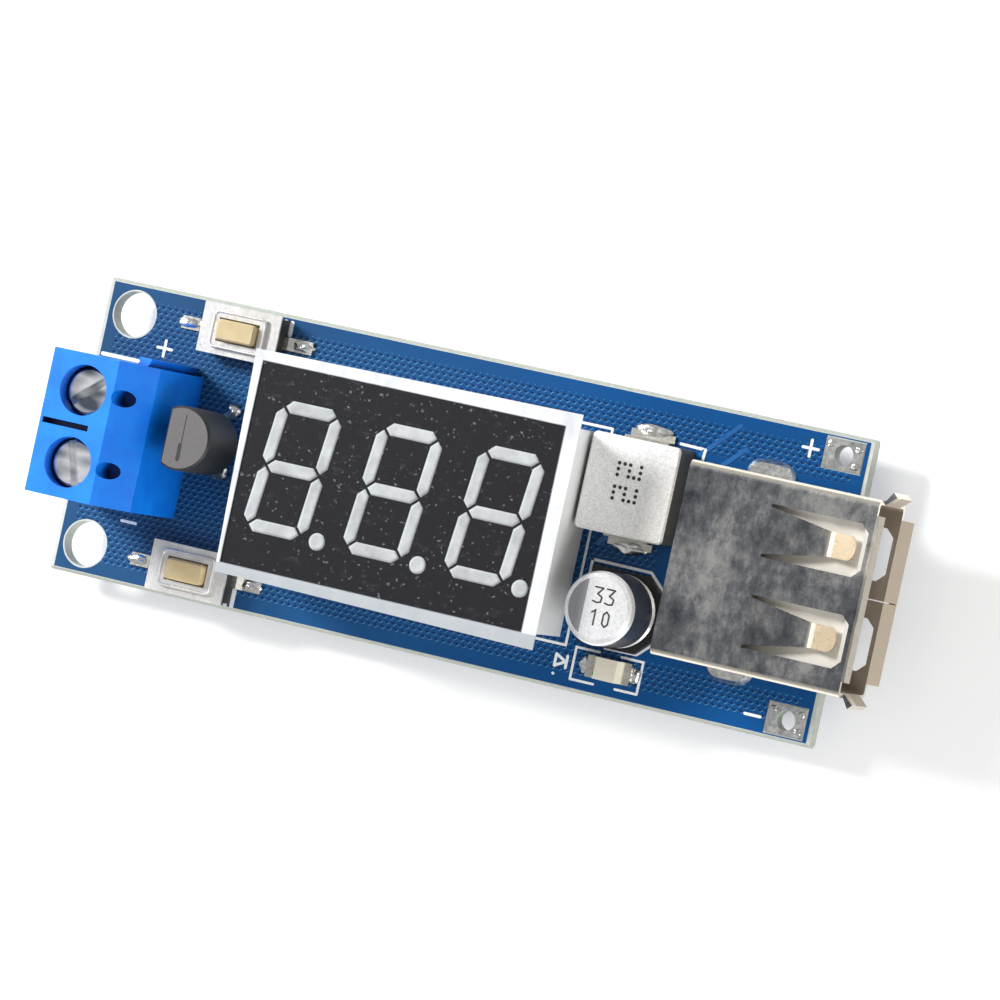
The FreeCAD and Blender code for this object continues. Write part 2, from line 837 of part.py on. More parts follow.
def make_terminal_contact(side):
    """A bar through the cage, bent down behind it and narrowed to a solder pin."""
    name = side + "_contact"
    bar_bottom = CONTACT_TOP - S.contact_thickness
    front = CAGE_FRONT
    leg = CAGE_REAR + S.cage_gap
    half = CONTACT_WIDTH / 2
    angle = prism(name + "_angle", "XZ", [
        (front, bar_bottom), (leg, bar_bottom), (leg, 0), (CONTACT_REAR, 0),
        (CONTACT_REAR, CONTACT_TOP), (front, CONTACT_TOP),
    ], -half, CONTACT_WIDTH)
    drop = S.board_thickness + S.lead_reach
    pin_size = (S.contact_thickness, S.contact_pin_width, drop)
    pin = block(name + "_pin", (leg, -(S.contact_pin_width / 2), -drop), pin_size)
    contact = fuse(name + "_body", [angle, pin])
    seat(contact, S.terminal_front, terminal_y(side))
    keep(side + "_terminal_contact", contact)


# Voltage reference: a moulded body with one flat side, on three spread leads
def make_reference():
    body = new_body("reference_body")
    outline = body_sketch(body, "XY_Plane")
    radius = S.reference_radius
    offset = S.reference_flat_offset
    rise = math.sqrt(radius.value ** 2 - offset.value ** 2)
    start = math.atan2(-rise, -offset.value)
    circle = Part.Circle(Vector(offset.value, 0, 0), Vector(0, 0, 1), radius.value)
    arc = outline.addGeometry(Part.ArcOfCircle(circle, start, -start), False)
    flat = outline.addGeometry(Part.LineSegment(Vector(0, rise, 0), Vector(0, -rise, 0)), False)
    outline.addConstraint([
        Sketcher.Constraint("Coincident", arc, 2, flat, 1),
        Sketcher.Constraint("Coincident", flat, 2, arc, 1),
        Sketcher.Constraint("PointOnObject", flat, 1, -2),
        Sketcher.Constraint("PointOnObject", flat, 2, -2),
    ])
    place_point(outline, arc, 3, (offset, 0))
    number = outline.addConstraint(Sketcher.Constraint("Radius", arc, radius.value))
    outline.setExpression(f"Constraints[{number}]", radius.text)
    pad(body, outline, S.reference_height)
    height = S.reference_height.value
    round_edges(body, "Chamfer", lambda edge: at_height(edge, height), S.reference_edge)
    seat(body, S.reference_flat_x, S.reference_centre_y, S.reference_top - S.reference_height)
    keep("reference_body", body)

    leads = []
    half = S.reference_lead_width / 2
    top = S.reference_top - S.reference_height
    bend_high = top - S.reference_bend_top
    bend_low = top - S.reference_bend_end
    tip = -(S.board_thickness + S.lead_reach)
    for k in (-1, 0, 1):
        near = S.reference_lead_pitch * k
        far = S.reference_foot_pitch * k
        leads.append(prism(f"reference_lead_{k + 2}", "YZ", [
            (near - half, top), (near - half, bend_high), (far - half, bend_low), (far - half, tip),
            (far + half, tip), (far + half, bend_low), (near + half, bend_high), (near + half, top),
        ], -(S.reference_lead_thickness / 2), S.reference_lead_thickness))
    wires = group("reference_lead_group", leads)
    seat(wires, REFERENCE_LEAD_X, S.reference_centre_y)
    keep("reference_leads", wires)


# Push switches: plastic base, snap dome, plunger and folded metal cover
COVER_UNDER = S.switch_cover_top - S.switch_sheet
FLANGE_TOP = COVER_UNDER - S.plunger_gap / 2
FLANGE_UNDER = FLANGE_TOP - S.flange_thickness
DOME_TOP = S.switch_floor + S.dome_height


def make_switch(side):
    name = side + "_switch"
    sign = TERMINAL_SIDES[side]
    centre = (S.switch_centre_x, S.switch_centre_y * sign)

    inner_width = S.switch_width - S.switch_sheet * 2
    base_size = (S.switch_length, inner_width, COVER_UNDER)
    base_block = middle_block(name + "_base_block", (0, 0), 0, base_size)
    well_length = S.plunger_length + S.flange_extra * 2 + S.plunger_gap * 2
    well_width = S.dome_radius * 2 + S.plunger_gap * 2
    well_size = (well_length, well_width, COVER_UNDER)
    well = middle_block(name + "_well", (0, 0), S.switch_floor, well_size)
    base = cut(name + "_base_solid", base_block, well)

    legs = []
    exit_top = S.leg_exit_height
    half = S.leg_width / 2
    root = S.switch_length / 2
    foot = S.leg_thickness
    knee = root + S.leg_shoulder
    toe = knee + S.leg_slope
    for end in (-1, 1):
        outline = [
            (root * end, exit_top), (knee * end, exit_top), (toe * end, foot),
            (S.leg_reach * end, foot), (S.leg_reach * end, 0), ((toe - S.leg_inner_bend) * end, 0),
            ((knee - S.leg_inner_bend) * end, exit_top - foot), (root * end, exit_top - foot),
        ]
        legs.append(prism(f"{name}_leg_{end + 1}", "XZ", outline, -half, S.leg_width))
    leg_group = group(name + "_leg_group", legs)

    top_size = (S.switch_length, S.switch_width, S.switch_sheet)
    plate = middle_block(name + "_plate", (0, 0), COVER_UNDER, top_size)
    shell_parts = [plate]
    for end in (-1, 1):
        y = (S.switch_width / 2 - S.switch_sheet / 2) * end
        skirt_size = (S.switch_length - S.switch_corner * 2, S.switch_sheet, S.switch_skirt)
        skirt_base = S.switch_cover_top - S.switch_skirt
        shell_parts.append(middle_block(f"{name}_skirt_{end + 1}", (0, y), skirt_base, skirt_size))
    rim_size = (S.rim_length, S.rim_width, S.rim_height)
    rim = middle_block(name + "_rim", (0, 0), S.switch_cover_top, rim_size)
    shell_parts.append(rim)
    shell = fuse(name + "_cover_solid", shell_parts)
    hole_length = S.plunger_length + S.plunger_gap * 2
    hole_width = S.plunger_width + S.plunger_gap * 2
    hole_size = (hole_length, hole_width, S.plunger_top)
    hole = middle_block(name + "_hole", (0, 0), COVER_UNDER - S.switch_sheet, hole_size)
    cover = cut(name + "_cover_cut", shell, hole)

    body = new_body(name + "_plunger_body")
    flange = body_sketch(body, "XY_Plane", FLANGE_UNDER)
    u = S.plunger_length / 2 + S.flange_extra
    v = S.plunger_width / 2 + S.flange_extra
    draw_outline(flange, [(-u, -v), (u, -v), (u, v), (-u, v)])
    pad(body, flange, S.flange_thickness)
    stem = body_sketch(body, "XY_Plane", DOME_TOP + S.dome_gap)
    u = S.plunger_length / 2
    v = S.plunger_width / 2
    draw_outline(stem, [(-u, -v), (u, -v), (u, v), (-u, v)])
    pad(body, stem, S.plunger_top - DOME_TOP - S.dome_gap)
    top = S.plunger_top.value
    round_edges(body, "Fillet", lambda edge: is_upright(edge) and edge.BoundBox.ZMax > top - 1e-6,
                S.plunger_corner)
    round_edges(body, "Chamfer", lambda edge: at_height(edge, top), S.plunger_corner * 0.4)

    dome = new_body(name + "_dome_body")
    section = body_sketch(dome, "XZ_Plane")
    flat = S.dome_radius / 2
    crown = S.switch_floor + S.dome_height
    skin = S.dome_thickness
    floor = S.switch_floor
    draw_outline(section, [
        (0, crown - skin), (flat, crown - skin), (S.dome_radius - skin, floor),
        (S.dome_radius, floor), (flat + skin / 2, crown), (0, crown),
    ])
    revolve(dome, section)

    for label, piece in (("base", base), ("terminals", leg_group), ("cover", cover),
                         ("plunger", body), ("dome", dome)):
        seat(piece, *centre)
        keep(f"{name}_{label}", piece)


# Three-digit display
def digit_outlines():
    """The seven bars of one digit as outlines, before the slant."""
    half_w = S.digit_width / 2
    half_h = S.digit_height / 2
    half_s = S.digit_stroke / 2
    gap = S.digit_bar_gap
    x_axis = half_w - half_s
    outlines = []
    for level in (half_h - half_s, 0, -half_h + half_s):
        reach = x_axis - gap
        outlines.append([
            (-reach, level), (-reach + half_s, level - half_s), (reach - half_s, level - half_s),
            (reach, level), (reach - half_s, level + half_s), (-reach + half_s, level + half_s),
        ])
    for side in (-1, 1):
        for low, high in ((-half_h + half_s, 0), (0, half_h - half_s)):
            x = x_axis * side
            bottom = low + gap
            top = high - gap
            outlines.append([
                (x, bottom), (x + half_s, bottom + half_s), (x + half_s, top - half_s),
                (x, top), (x - half_s, top - half_s), (x - half_s, bottom + half_s),
            ])
    return outlines


def digit_prism(name, centre_x, base, height):
    """All bars and the dot of one digit, as upright prisms."""
    sketch = doc.addObject("Sketcher::SketchObject", name + "_outline")
    bind(sketch, ".Placement.Base.z", base)
    for outline in digit_outlines():
        draw_outline(sketch, [(centre_x + u + v * S.digit_slant, v + S.digit_lift) for u, v in outline])
    draw_circle(sketch, (centre_x + S.dot_offset_x, S.dot_offset_y), S.dot_radius)
    solid = doc.addObject("Part::Extrusion", name)
    solid.Base = sketch
    solid.DirMode = "Custom"
    solid.Dir = Vector(0, 0, 1)
    solid.Solid = True
    bind(solid, "LengthFwd", height)
    return solid


def make_display():
    size = (S.display_length, S.display_width, S.display_height - S.mask_thickness)
    case = block("display_case", (0, -(S.display_width / 2), 0), size)
    back_x = S.display_length - S.display_wall * 2
    back_y = S.display_width - S.display_wall * 2
    back_corner = (S.display_wall, -(back_y / 2), 0)
    back = block("display_back_well", back_corner, (back_x, back_y, S.display_back_depth))
    hollow_case = cut("display_hollow", case, back)
    digits = []
    for place in range(3):
        centre = S.digit_centre + S.digit_pitch * place
        top = S.display_height - S.segment_recess
        low = top - S.segment_depth
        digits.append(digit_prism(f"display_digit_{place + 1}", centre, low, S.segment_depth))
    bars = group("display_bars", digits)
    housing = cut("display_housing_cut", hollow_case, bars)
    mask_size = (S.display_length, S.display_width, S.mask_thickness)
    mask_corner = (0, -(S.display_width / 2), S.display_height - S.mask_thickness)
    sheet = block("display_sheet", mask_corner, mask_size)
    windows = []
    for place in range(3):
        centre = S.digit_centre + S.digit_pitch * place
        base = S.display_height - S.mask_thickness * 2
        windows.append(digit_prism(f"display_window_{place + 1}", centre, base, S.mask_thickness * 3))
    mask = cut("display_mask_cut", sheet, group("display_windows", windows))
    fill_block = block("display_fill", back_corner, (back_x, back_y, S.display_fill_depth))
    fill = group("display_filling", [fill_block])

    left = 0
    right = S.display_length
    low = -(S.display_width / 2)
    high = S.display_width / 2
    film = prism("display_film_sheet", "XY", [
        (left - S.film_left_bottom, low - S.film_bottom_left),
        (right + S.film_right, low - S.film_bottom_right),
        (right + S.film_right, high + S.film_top_right),
        (left - S.film_left_top, high + S.film_top_left),
    ], S.display_height, S.film_thickness)

    pins = []
    drop = S.board_thickness + S.lead_reach
    for number, (x, y) in enumerate(display_pin_places(), start=1):
        pin_size = (S.display_pin_size, S.display_pin_thickness, drop)
        pins.append(middle_block(f"display_pin_{number}", (x - S.display_left, y), -drop, pin_size))
    segments = group("display_bar_group", [bars])
    for label, piece in (("housing", housing), ("mask", mask), ("segments", segments),
                         ("back_plate", fill), ("film", film), ("pins", group("display_pin_group", pins))):
        seat(piece, S.display_left)
        keep("display_" + label, piece)


# Power inductor: pressed powder block with a wrapped tab at each end
def make_inductor():
    body = new_body("inductor_block")
    outline = body_sketch(body, "XY_Plane", S.inductor_standoff)
    u = S.inductor_length / 2
    v = S.inductor_width / 2
    draw_outline(outline, [(-u, -v), (u, -v), (u, v), (-u, v)])
    pad(body, outline, S.inductor_height - S.inductor_standoff)
    round_edges(body, "Fillet", is_upright, S.inductor_corner)
    top = S.inductor_height.value
    round_edges(body, "Chamfer", lambda edge: at_height(edge, top), S.inductor_edge)
    seat(body, S.inductor_centre_x, S.inductor_centre_y)
    keep("inductor_body", body)
    tabs = []
    thick = S.inductor_tab_thickness
    for end in (-1, 1):
        outer = v + thick
        toe = outer + S.inductor_tab_toe
        tabs.append(prism(f"inductor_tab_{end + 1}", "YZ", [
            (v * end, S.inductor_tab_rise), (outer * end, S.inductor_tab_rise),
            (outer * end, thick), (toe * end, thick), (toe * end, 0),
            ((v - S.inductor_tab_foot) * end, 0), ((v - S.inductor_tab_foot) * end, S.inductor_standoff),
            (v * end, S.inductor_standoff),
        ], -(S.inductor_tab_width / 2), S.inductor_tab_width))
    terminals = group("inductor_tab_group", tabs)
    seat(terminals, S.inductor_centre_x, S.inductor_centre_y)
    keep("inductor_terminals", terminals)


# Aluminium capacitor: a crimped can on a moulded base
def make_capacitor():
    body = new_body("capacitor_body")
    profile = body_sketch(body, "XZ_Plane")
    radius = S.capacitor_radius
    seat_height = S.capacitor_base_height - S.capacitor_seat_depth
    bead = S.capacitor_bead_radius
    waist = S.capacitor_bead_height
    shoulder = S.capacitor_shoulder
    top = S.capacitor_height
    corner = shoulder / 3
    draw_outline(profile, [
        (0, seat_height), (radius, seat_height), (radius, waist - bead), (radius - bead, waist),
        (radius, waist + bead), (radius, top - shoulder),
        (radius - corner, top - corner), (radius - shoulder, top), (0, top),
    ])
    revolve(body, profile)
    seat(body, S.capacitor_centre_x, S.capacitor_centre_y)
    keep("capacitor_can", body)

    half = S.capacitor_base / 2
    chamfer = S.capacitor_base_chamfer
    base_block = prism("capacitor_base_block", "XY", [
        (-half, -half), (half - chamfer, -half), (half, -half + chamfer),
        (half, half - chamfer), (half - chamfer, half), (-half, half),
    ], S.capacitor_tab_thickness, S.capacitor_base_height - S.capacitor_tab_thickness)
    well_radius = radius + S.capacitor_seat_gap
    well = rod("capacitor_base_well", well_radius, S.capacitor_base_height, (0, 0, seat_height))
    base = cut("capacitor_base_cut", base_block, well)
    seat(base, S.capacitor_centre_x, S.capacitor_centre_y)
    keep("capacitor_base", base)

    tabs = []
    reach = half + S.capacitor_tab_reach
    length = S.capacitor_tab_reach + half * 0.8
    for end in (-1, 1):
        x = (reach - length / 2) * end
        size = (length, S.capacitor_tab_width, S.capacitor_tab_thickness)
        tabs.append(middle_block(f"capacitor_tab_{end + 1}", (x, 0), 0, size))
    terminals = group("capacitor_tab_group", tabs)
    seat(terminals, S.capacitor_centre_x, S.capacitor_centre_y)
    keep("capacitor_terminals", terminals)


# Indicator lamp: chip on a carrier with plated ends
def make_indicator():
    inner = S.indicator_length - S.indicator_end * 2
    carrier_size = (inner, S.indicator_width, S.indicator_base_height)
    carrier = group("indicator_carriers", [middle_block("indicator_chip_carrier", (0, 0), 0, carrier_size)])
    low = S.indicator_base_height
    rise = S.indicator_height - S.indicator_base_height
    foot = S.indicator_lens_length / 2
    lens = prism("indicator_lens_block", "XZ", [
        (-foot, low), (foot, low), (foot - rise * 0.35, low + rise), (-foot + rise * 0.35, low + rise),
    ], -(S.indicator_width / 2), S.indicator_width)
    ends = []
    for end in (-1, 1):
        x = (S.indicator_length / 2 - S.indicator_end / 2) * end
        size = (S.indicator_end, S.indicator_width, S.indicator_base_height)
        ends.append(middle_block(f"indicator_end_{end + 1}", (x, 0), 0, size))
    end_pieces = group("indicator_ends", ends)
    for label, piece in (("carrier", carrier), ("lens", lens), ("terminals", end_pieces)):
        seat(piece, S.indicator_centre_x, S.indicator_centre_y)
        keep("indicator_" + label, piece)


# Socket shell: one folded sheet with spring fingers, flared lips, a seam and legs
SHELL_BOTTOM = S.socket_top - S.socket_height
WINDOW_LENGTH = S.socket_depth - S.window_front - S.window_from_back
FOOT_WIDTH = S.socket_width - S.insulator_foot_from_side * 2
TONGUE_WIDTH = S.socket_width - S.tongue_from_side * 2
FLARE_WIDTH = S.socket_width - S.flare_from_side * 2


def rounded_bar(name, corner, size, radius):
    """A bar along X with its four long edges rounded."""
    solid = block(name + "_bar", corner, size)
    doc.recompute()
    edges = []
    for number, edge in enumerate(solid.Shape.Edges, start=1):
        if edge.BoundBox.XLength > 1e-6:
            edges.append((number, radius.value, radius.value))
    result = doc.addObject("Part::Fillet", name)
    result.Base = solid
    result.Edges = edges
    return result


def window_outline(centre_y):
    """A window in the socket's top or bottom plate, its front corners cut off."""
    front = S.socket_depth - S.window_front
    back = front - WINDOW_LENGTH
    half = S.window_width / 2
    corner = S.window_corner
    return [
        (back, centre_y - half), (front - corner, centre_y - half), (front, centre_y - half + corner),
        (front, centre_y + half - corner), (front - corner, centre_y + half), (back, centre_y + half),
    ]


def finger_outline(centre_y):
    """The spring finger left in a window, seen in plan: wide root, narrow tip."""
    front = S.socket_depth - S.window_front
    back = front - WINDOW_LENGTH
    half = S.window_width / 2 - S.finger_slot_start
    bend = S.socket_depth - S.finger_bend_from_front
    tip = S.socket_depth - S.finger_tip_from_front
    narrow = S.finger_tip_width / 2
    return [
        (back - 0.01, centre_y - half), (bend, centre_y - narrow), (tip, centre_y - narrow),
        (tip, centre_y + narrow), (bend, centre_y + narrow), (back - 0.01, centre_y + half),
    ]


def finger_section(level, sign):
    """The same finger seen from the side: sprung inwards, its tip turned back out."""
    back = S.socket_depth - S.window_front - WINDOW_LENGTH
    bend = S.socket_depth - S.finger_bend_from_front
    tip = S.socket_depth - S.finger_tip_from_front
    dip = -S.finger_dip * sign
    lift = (-S.finger_dip + S.finger_lift) * sign
    sheet = -S.socket_sheet * sign
    return [
        (back - 0.01, level), (bend, level + dip), (tip, level + lift),
        (tip, level + lift + sheet), (bend, level + dip + sheet), (back - 0.01, level + sheet),
    ]


def make_socket_shell():
    sheet = S.socket_sheet
    half = S.socket_width / 2
    outer = rounded_bar("shell_outer", (0, -half, SHELL_BOTTOM),
                        (S.socket_depth, S.socket_width, S.socket_height), S.socket_bend)
    inner = rounded_bar("shell_inner", (sheet, -half + sheet, SHELL_BOTTOM + sheet),
                        (S.socket_depth, S.socket_width - sheet * 2, S.socket_height - sheet * 2),
                        S.socket_bend - sheet)
    tube = cut("shell_tube", outer, inner)

    openings = []
    fingers = []
    for side in (-1, 1):
        y = S.window_centre * side
        for label, level, sign in (("top", S.socket_top, 1), ("bottom", SHELL_BOTTOM, -1)):
            tag = f"{label}_{side + 1}"
            start = level - sheet * 2 if sign == 1 else level - sheet
            openings.append(prism("window_" + tag, "XY", window_outline(y), start, sheet * 3))
            plan = prism("finger_plan_" + tag, "XY", finger_outline(y), level - 2, 4)
            section = prism("finger_section_" + tag, "XZ", finger_section(level, sign),
                            y - S.window_width / 2, S.window_width)
            fingers.append(common("finger_" + tag, plan, section))
    seam_size = (S.socket_depth + S.flare_reach * 2, S.seam_width, sheet * 3)
    seam_centre = (S.socket_depth / 2 + S.flare_reach, 0)
    seam = middle_block("shell_seam", seam_centre, SHELL_BOTTOM - sheet, seam_size)
    gap_width = FOOT_WIDTH + S.insulator_gap * 2
    gap_length = S.insulator_block + sheet * 2 + S.insulator_gap * 2
    floor = (gap_length, gap_width, sheet * 3)
    floor_gap = block("shell_floor_gap", (-sheet, -(gap_width / 2), SHELL_BOTTOM - sheet), floor)
    wall = (sheet * 3, gap_width, S.rear_opening_height)
    wall_gap = block("shell_wall_gap", (-sheet, -(gap_width / 2), SHELL_BOTTOM - sheet), wall)
    openings += [seam, floor_gap, wall_gap]

    lips = []
    front = S.socket_depth
    reach = S.flare_reach
    out = S.flare_out
    bottom = SHELL_BOTTOM
    top = S.socket_top
    lip_half = FLARE_WIDTH / 2
    lips.append(prism("lip_top", "XZ", [
        (front - 0.01, top - sheet), (front + reach, top + out - sheet), (front + reach - sheet, top + out),
        (front - 0.01, top),
    ], -lip_half, FLARE_WIDTH))
    lips.append(prism("lip_bottom", "XZ", [
        (front - 0.01, bottom), (front + reach - sheet, bottom - out),
        (front + reach, bottom - out + sheet),
        (front - 0.01, bottom + sheet),
    ], -lip_half, FLARE_WIDTH))
    middle = (top + bottom) / 2
    for side in (-1, 1):
        lips.append(prism(f"lip_side_{side + 1}", "XY", [
            (front - 0.01, half * side), (front + reach - sheet, (half + out) * side),
            (front + reach, (half + out - sheet) * side), (front - 0.01, (half - sheet) * side),
        ], middle - S.flare_side_width / 2, S.flare_side_width))

    legs = []
    drop = S.board_thickness + S.lead_reach
    leg_top = SHELL_BOTTOM + S.socket_bend * 2
    for side in (-1, 1):
        corner_y = half * side - (sheet if side == 1 else 0)
        u = S.socket_leg_from_back - S.socket_leg_width / 2
        v = S.socket_leg_from_back + S.socket_leg_width / 2
        taper = S.socket_leg_width / 4
        legs.append(prism(f"shell_leg_{side + 1}", "XZ", [
            (u, leg_top), (u, -S.board_thickness), (u + taper, -drop), (v - taper, -drop),
            (v, -S.board_thickness), (v, leg_top),
        ], corner_y, sheet))
    folded = fuse("shell_folded", [tube] + lips + legs)
    opened = cut("shell_opened", folded, group("shell_openings", openings))
    shell = fuse("shell_sprung", [opened] + fingers)
    seat(shell, S.socket_back, S.socket_centre_y)
    keep("socket_shell", shell)


def make_socket_inside():
    """White insulator with its tongue, and the four contacts laid along it."""
    sheet = S.socket_sheet
    gap = S.insulator_gap
    top = S.socket_top - sheet - gap
    low = SHELL_BOTTOM + sheet + gap
    tongue_top = S.socket_top - sheet - S.tongue_top_gap
    tongue_low = tongue_top - S.tongue_thickness
    block_width = S.socket_width - sheet * 2 - S.socket_bend
    rear_size = (S.insulator_block, block_width, top - low)
    rear = middle_block("insulator_rear", (sheet + gap + S.insulator_block / 2, 0), low, rear_size)
    tongue_length = S.socket_depth - S.tongue_setback - S.insulator_block
    tongue_size = (tongue_length, TONGUE_WIDTH, S.tongue_thickness)
    tongue_centre = (S.insulator_block + tongue_length / 2, 0)
    tongue = middle_block("insulator_tongue", tongue_centre, tongue_low, tongue_size)
    foot_size = (S.insulator_block, FOOT_WIDTH, low)
    foot = middle_block("insulator_foot", (sheet + gap + S.insulator_block / 2, 0), 0, foot_size)
    moulding = fuse("insulator_moulding", [rear, tongue, foot])

    blades = []
    pin_x = S.blade_pin_from_back
    thick = S.blade_thickness
    drop = S.board_thickness + S.lead_reach
    tip = S.socket_depth - S.blade_setback
    for number, (x, y) in enumerate(socket_pin_places(), start=1):
        outline = [
            (pin_x - thick, -drop), (pin_x + thick, -drop), (pin_x + thick, tongue_low),
            (tip, tongue_low), (tip, tongue_low + thick), (pin_x - thick, tongue_low + thick),
        ]
        start = y - S.socket_centre_y - S.blade_width / 2
        blades.append(prism(f"socket_blade_{number}", "XZ", outline, start, S.blade_width))
    blade_group = group("socket_blade_group", blades)
    insulator = cut("insulator_cut", moulding, blade_group)
    seat(insulator, S.socket_back, S.socket_centre_y)
    keep("socket_insulator", insulator)
    contacts = group("socket_contact_group", [blade_group])
    seat(contacts, S.socket_back, S.socket_centre_y)
    keep("socket_contacts", contacts)


def make_leg_solder():
    """Domed oval rings of solder round the shell's legs, on the component side."""
    rings = []
    for side in (-1, 1):
        y = SOCKET_LEG_Y * side
        length = S.leg_ring_length
        width = S.leg_ring_width
        body = doc.addObject("Sketcher::SketchObject", f"leg_ring_sketch_{side + 1}")
        draw_slot(body, (0, y), length, width)
        solid = doc.addObject("Part::Extrusion", f"leg_ring_{side + 1}")
        solid.Base = body
        solid.DirMode = "Custom"
        solid.Dir = Vector(0, 0, 1)
        solid.Solid = True
        bind(solid, "LengthFwd", S.leg_ring_height)
        solid.TaperAngle = -35
        hole = middle_block(f"leg_ring_hole_{side + 1}", (0, y), -S.leg_ring_height,
                            (S.socket_leg_width, S.socket_sheet, S.leg_ring_height * 3))
        rings.append(cut(f"leg_ring_cut_{side + 1}", solid, hole))
    solder = group("leg_ring_group", rings)
    seat(solder, SOCKET_LEG_X, S.socket_centre_y)
    keep("leg_solder", solder)


def make_pin_solder():
    """A cone of solder round each lead under the board."""
    cones = []
    places = []
    for side in TERMINAL_SIDES:
        size = (S.contact_thickness, S.contact_pin_width)
        places.append((CONTACT_PIN_X, terminal_y(side), size, S.solder_radius_large))
    for x, y in reference_lead_places():
        size = (S.reference_lead_thickness, S.reference_lead_width)
        places.append((x, y, size, S.solder_radius_small))
    for x, y in display_pin_places():
        size = (S.display_pin_size, S.display_pin_thickness)
        places.append((x, y, size, S.solder_radius_small))
    for x, y in socket_pin_places():
        size = (S.blade_thickness * 2, S.blade_width)
        places.append((x, y, size, S.solder_radius_wide))
    for number, (x, y, size, radius) in enumerate(places, start=1):
        root = doc.addObject("Sketcher::SketchObject", f"solder_root_{number}")
        draw_outline(root, eight_sides(x, y, radius))
        cone = doc.addObject("Part::Extrusion", f"solder_cone_{number}")
        cone.Base = root
        cone.DirMode = "Custom"
        cone.Dir = Vector(0, 0, -1)
        bind(cone, "LengthFwd", S.solder_height)
        bind(cone, "TaperAngle", -S.solder_taper)
        cone.Solid = True
        tall = (size[0], size[1], S.solder_height * 3)
        hole = middle_block(f"solder_hole_{number}", (x, y), S.solder_height * -2, tall)
        cones.append(cut(f"solder_joint_{number}", cone, hole))
    solder = group("solder_group", cones)
    seat(solder, z=-S.board_thickness)
    keep("pin_solder", solder)


# Underside: converter chip, voltmeter controller, ceramic capacitors, resistors
def make_chip(name, centre, size, pins, pitch, lead_width):
    """A moulded chip upside down under the board, with gull-wing leads on two sides."""
    length, width, height = size
    body_height = height - S.chip_standoff
    body = new_body(name + "_body")
    outline = body_sketch(body, "XY_Plane", -height)
    u = length / 2
    v = width / 2
    draw_outline(outline, [(-u, -v), (u, -v), (u, v), (-u, v)])
    pad(body, outline, body_height)
    low = -height.value
    round_edges(body, "Chamfer", lambda edge: at_height(edge, low), S.chip_standoff)
    seat(body, centre[0], centre[1], -S.board_thickness)
    keep(name, body)
    leads = []
    thick = S.gull_thickness
    exit_level = -(height * 0.5)
    for side in (-1, 1):
        for number in range(pins):
            x = pitch * (number - (pins - 1) / 2)
            knee = v + S.gull_reach - S.gull_foot
            outline = [
                (v * side, exit_level), ((knee - thick) * side, exit_level), (knee * side, 0),
                ((v + S.gull_reach) * side, 0), ((v + S.gull_reach) * side, -thick),
                ((knee + thick) * side, -thick), (knee * side, exit_level - thick),
                (v * side, exit_level - thick),
            ]
            leads.append(prism(f"{name}_lead_{side + 1}_{number}", "YZ", outline,
                               x - lead_width / 2, lead_width))
    wires = group(name + "_lead_group", leads)
    seat(wires, centre[0], centre[1], -S.board_thickness)
    keep(name + "_leads", wires)


def make_chips():
    make_chip("converter_chip", (S.converter_centre_x, S.converter_centre_y),
              (S.converter_length, S.converter_width, S.converter_height), 4,
              S.converter_pitch, S.converter_lead_width)
    make_chip("controller_chip", (S.controller_centre_x, 0),
              (S.controller_length, S.controller_width, S.controller_height), 8,
              S.controller_pitch, S.controller_lead_width)


def make_passives():
    """Ceramic capacitors and chip resistors round the two chips."""
    after = S.converter_centre_x + S.ceramic_after_converter
    capacitor_places = [
        (S.converter_centre_x - S.ceramic_before_converter, S.converter_centre_y),
        (after, S.ceramic_spread), (after, -S.ceramic_spread),
        (S.controller_centre_x - S.ceramic_before_controller, as_size(0)),
    ]
    capacitors = []
    for number, (x, y) in enumerate(capacitor_places, start=1):
        size = (S.ceramic_width, S.ceramic_length, S.ceramic_height)
        capacitors.append(middle_block(f"ceramic_{number}", (x, y), -S.ceramic_height, size))
    ceramic = group("ceramic_group", capacitors)
    seat(ceramic, z=-S.board_thickness)
    keep("ceramic_capacitors", ceramic)
    resistor_places = [(S.indicator_centre_x, S.indicator_centre_y)]
    for side in (-1, 1):
        for row in (-1, 0, 1):
            x = S.controller_centre_x + S.resistor_from_controller * side
            resistor_places.append((x, S.resistor_spread * row))
    resistors = []
    for number, (x, y) in enumerate(resistor_places, start=1):
        size = (S.resistor_length, S.resistor_width, S.resistor_height)
        resistors.append(middle_block(f"resistor_{number}", (x, y), -S.resistor_height, size))
    chips = group("resistor_group", resistors)
    seat(chips, z=-S.board_thickness)
    keep("chip_resistors", chips)


def check_and_write():
    """Stops on any failed object, then writes each sub-part to its own file."""
    doc.recompute()
    for thing in doc.Objects:
        if "Invalid" in thing.State or "Error" in thing.State:
            raise RuntimeError(f"{thing.Name} failed: {thing.State}")
    os.makedirs("parts", exist_ok=True)
    for name, thing in nodes.items():
        shape = thing.Shape
        if shape.isNull() or not shape.isValid() or not shape.Solids:
            raise RuntimeError(f"{name} has no valid solid")
        shape.exportStep(f"parts/{name}.step")
        print(f"{name}: {len(shape.Solids)} solids, {shape.Volume:.3f} mm3")


make_board()
make_output_pads()
make_terminal_housing()
for side in TERMINAL_SIDES:
    make_terminal_screw(side)
    make_clamp_cage(side)
    make_terminal_contact(side)
make_reference()
for side in TERMINAL_SIDES:
    make_switch(side)
make_display()
make_inductor()
make_capacitor()
make_indicator()
make_socket_shell()
make_socket_inside()
make_leg_solder()
make_pin_solder()
make_chips()
make_passives()
check_and_write()
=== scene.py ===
"""Looks, lights and camera for the voltage regulator module."""
import json
import math
import random

import bmesh
import bpy
from mathutils import Matrix, Vector


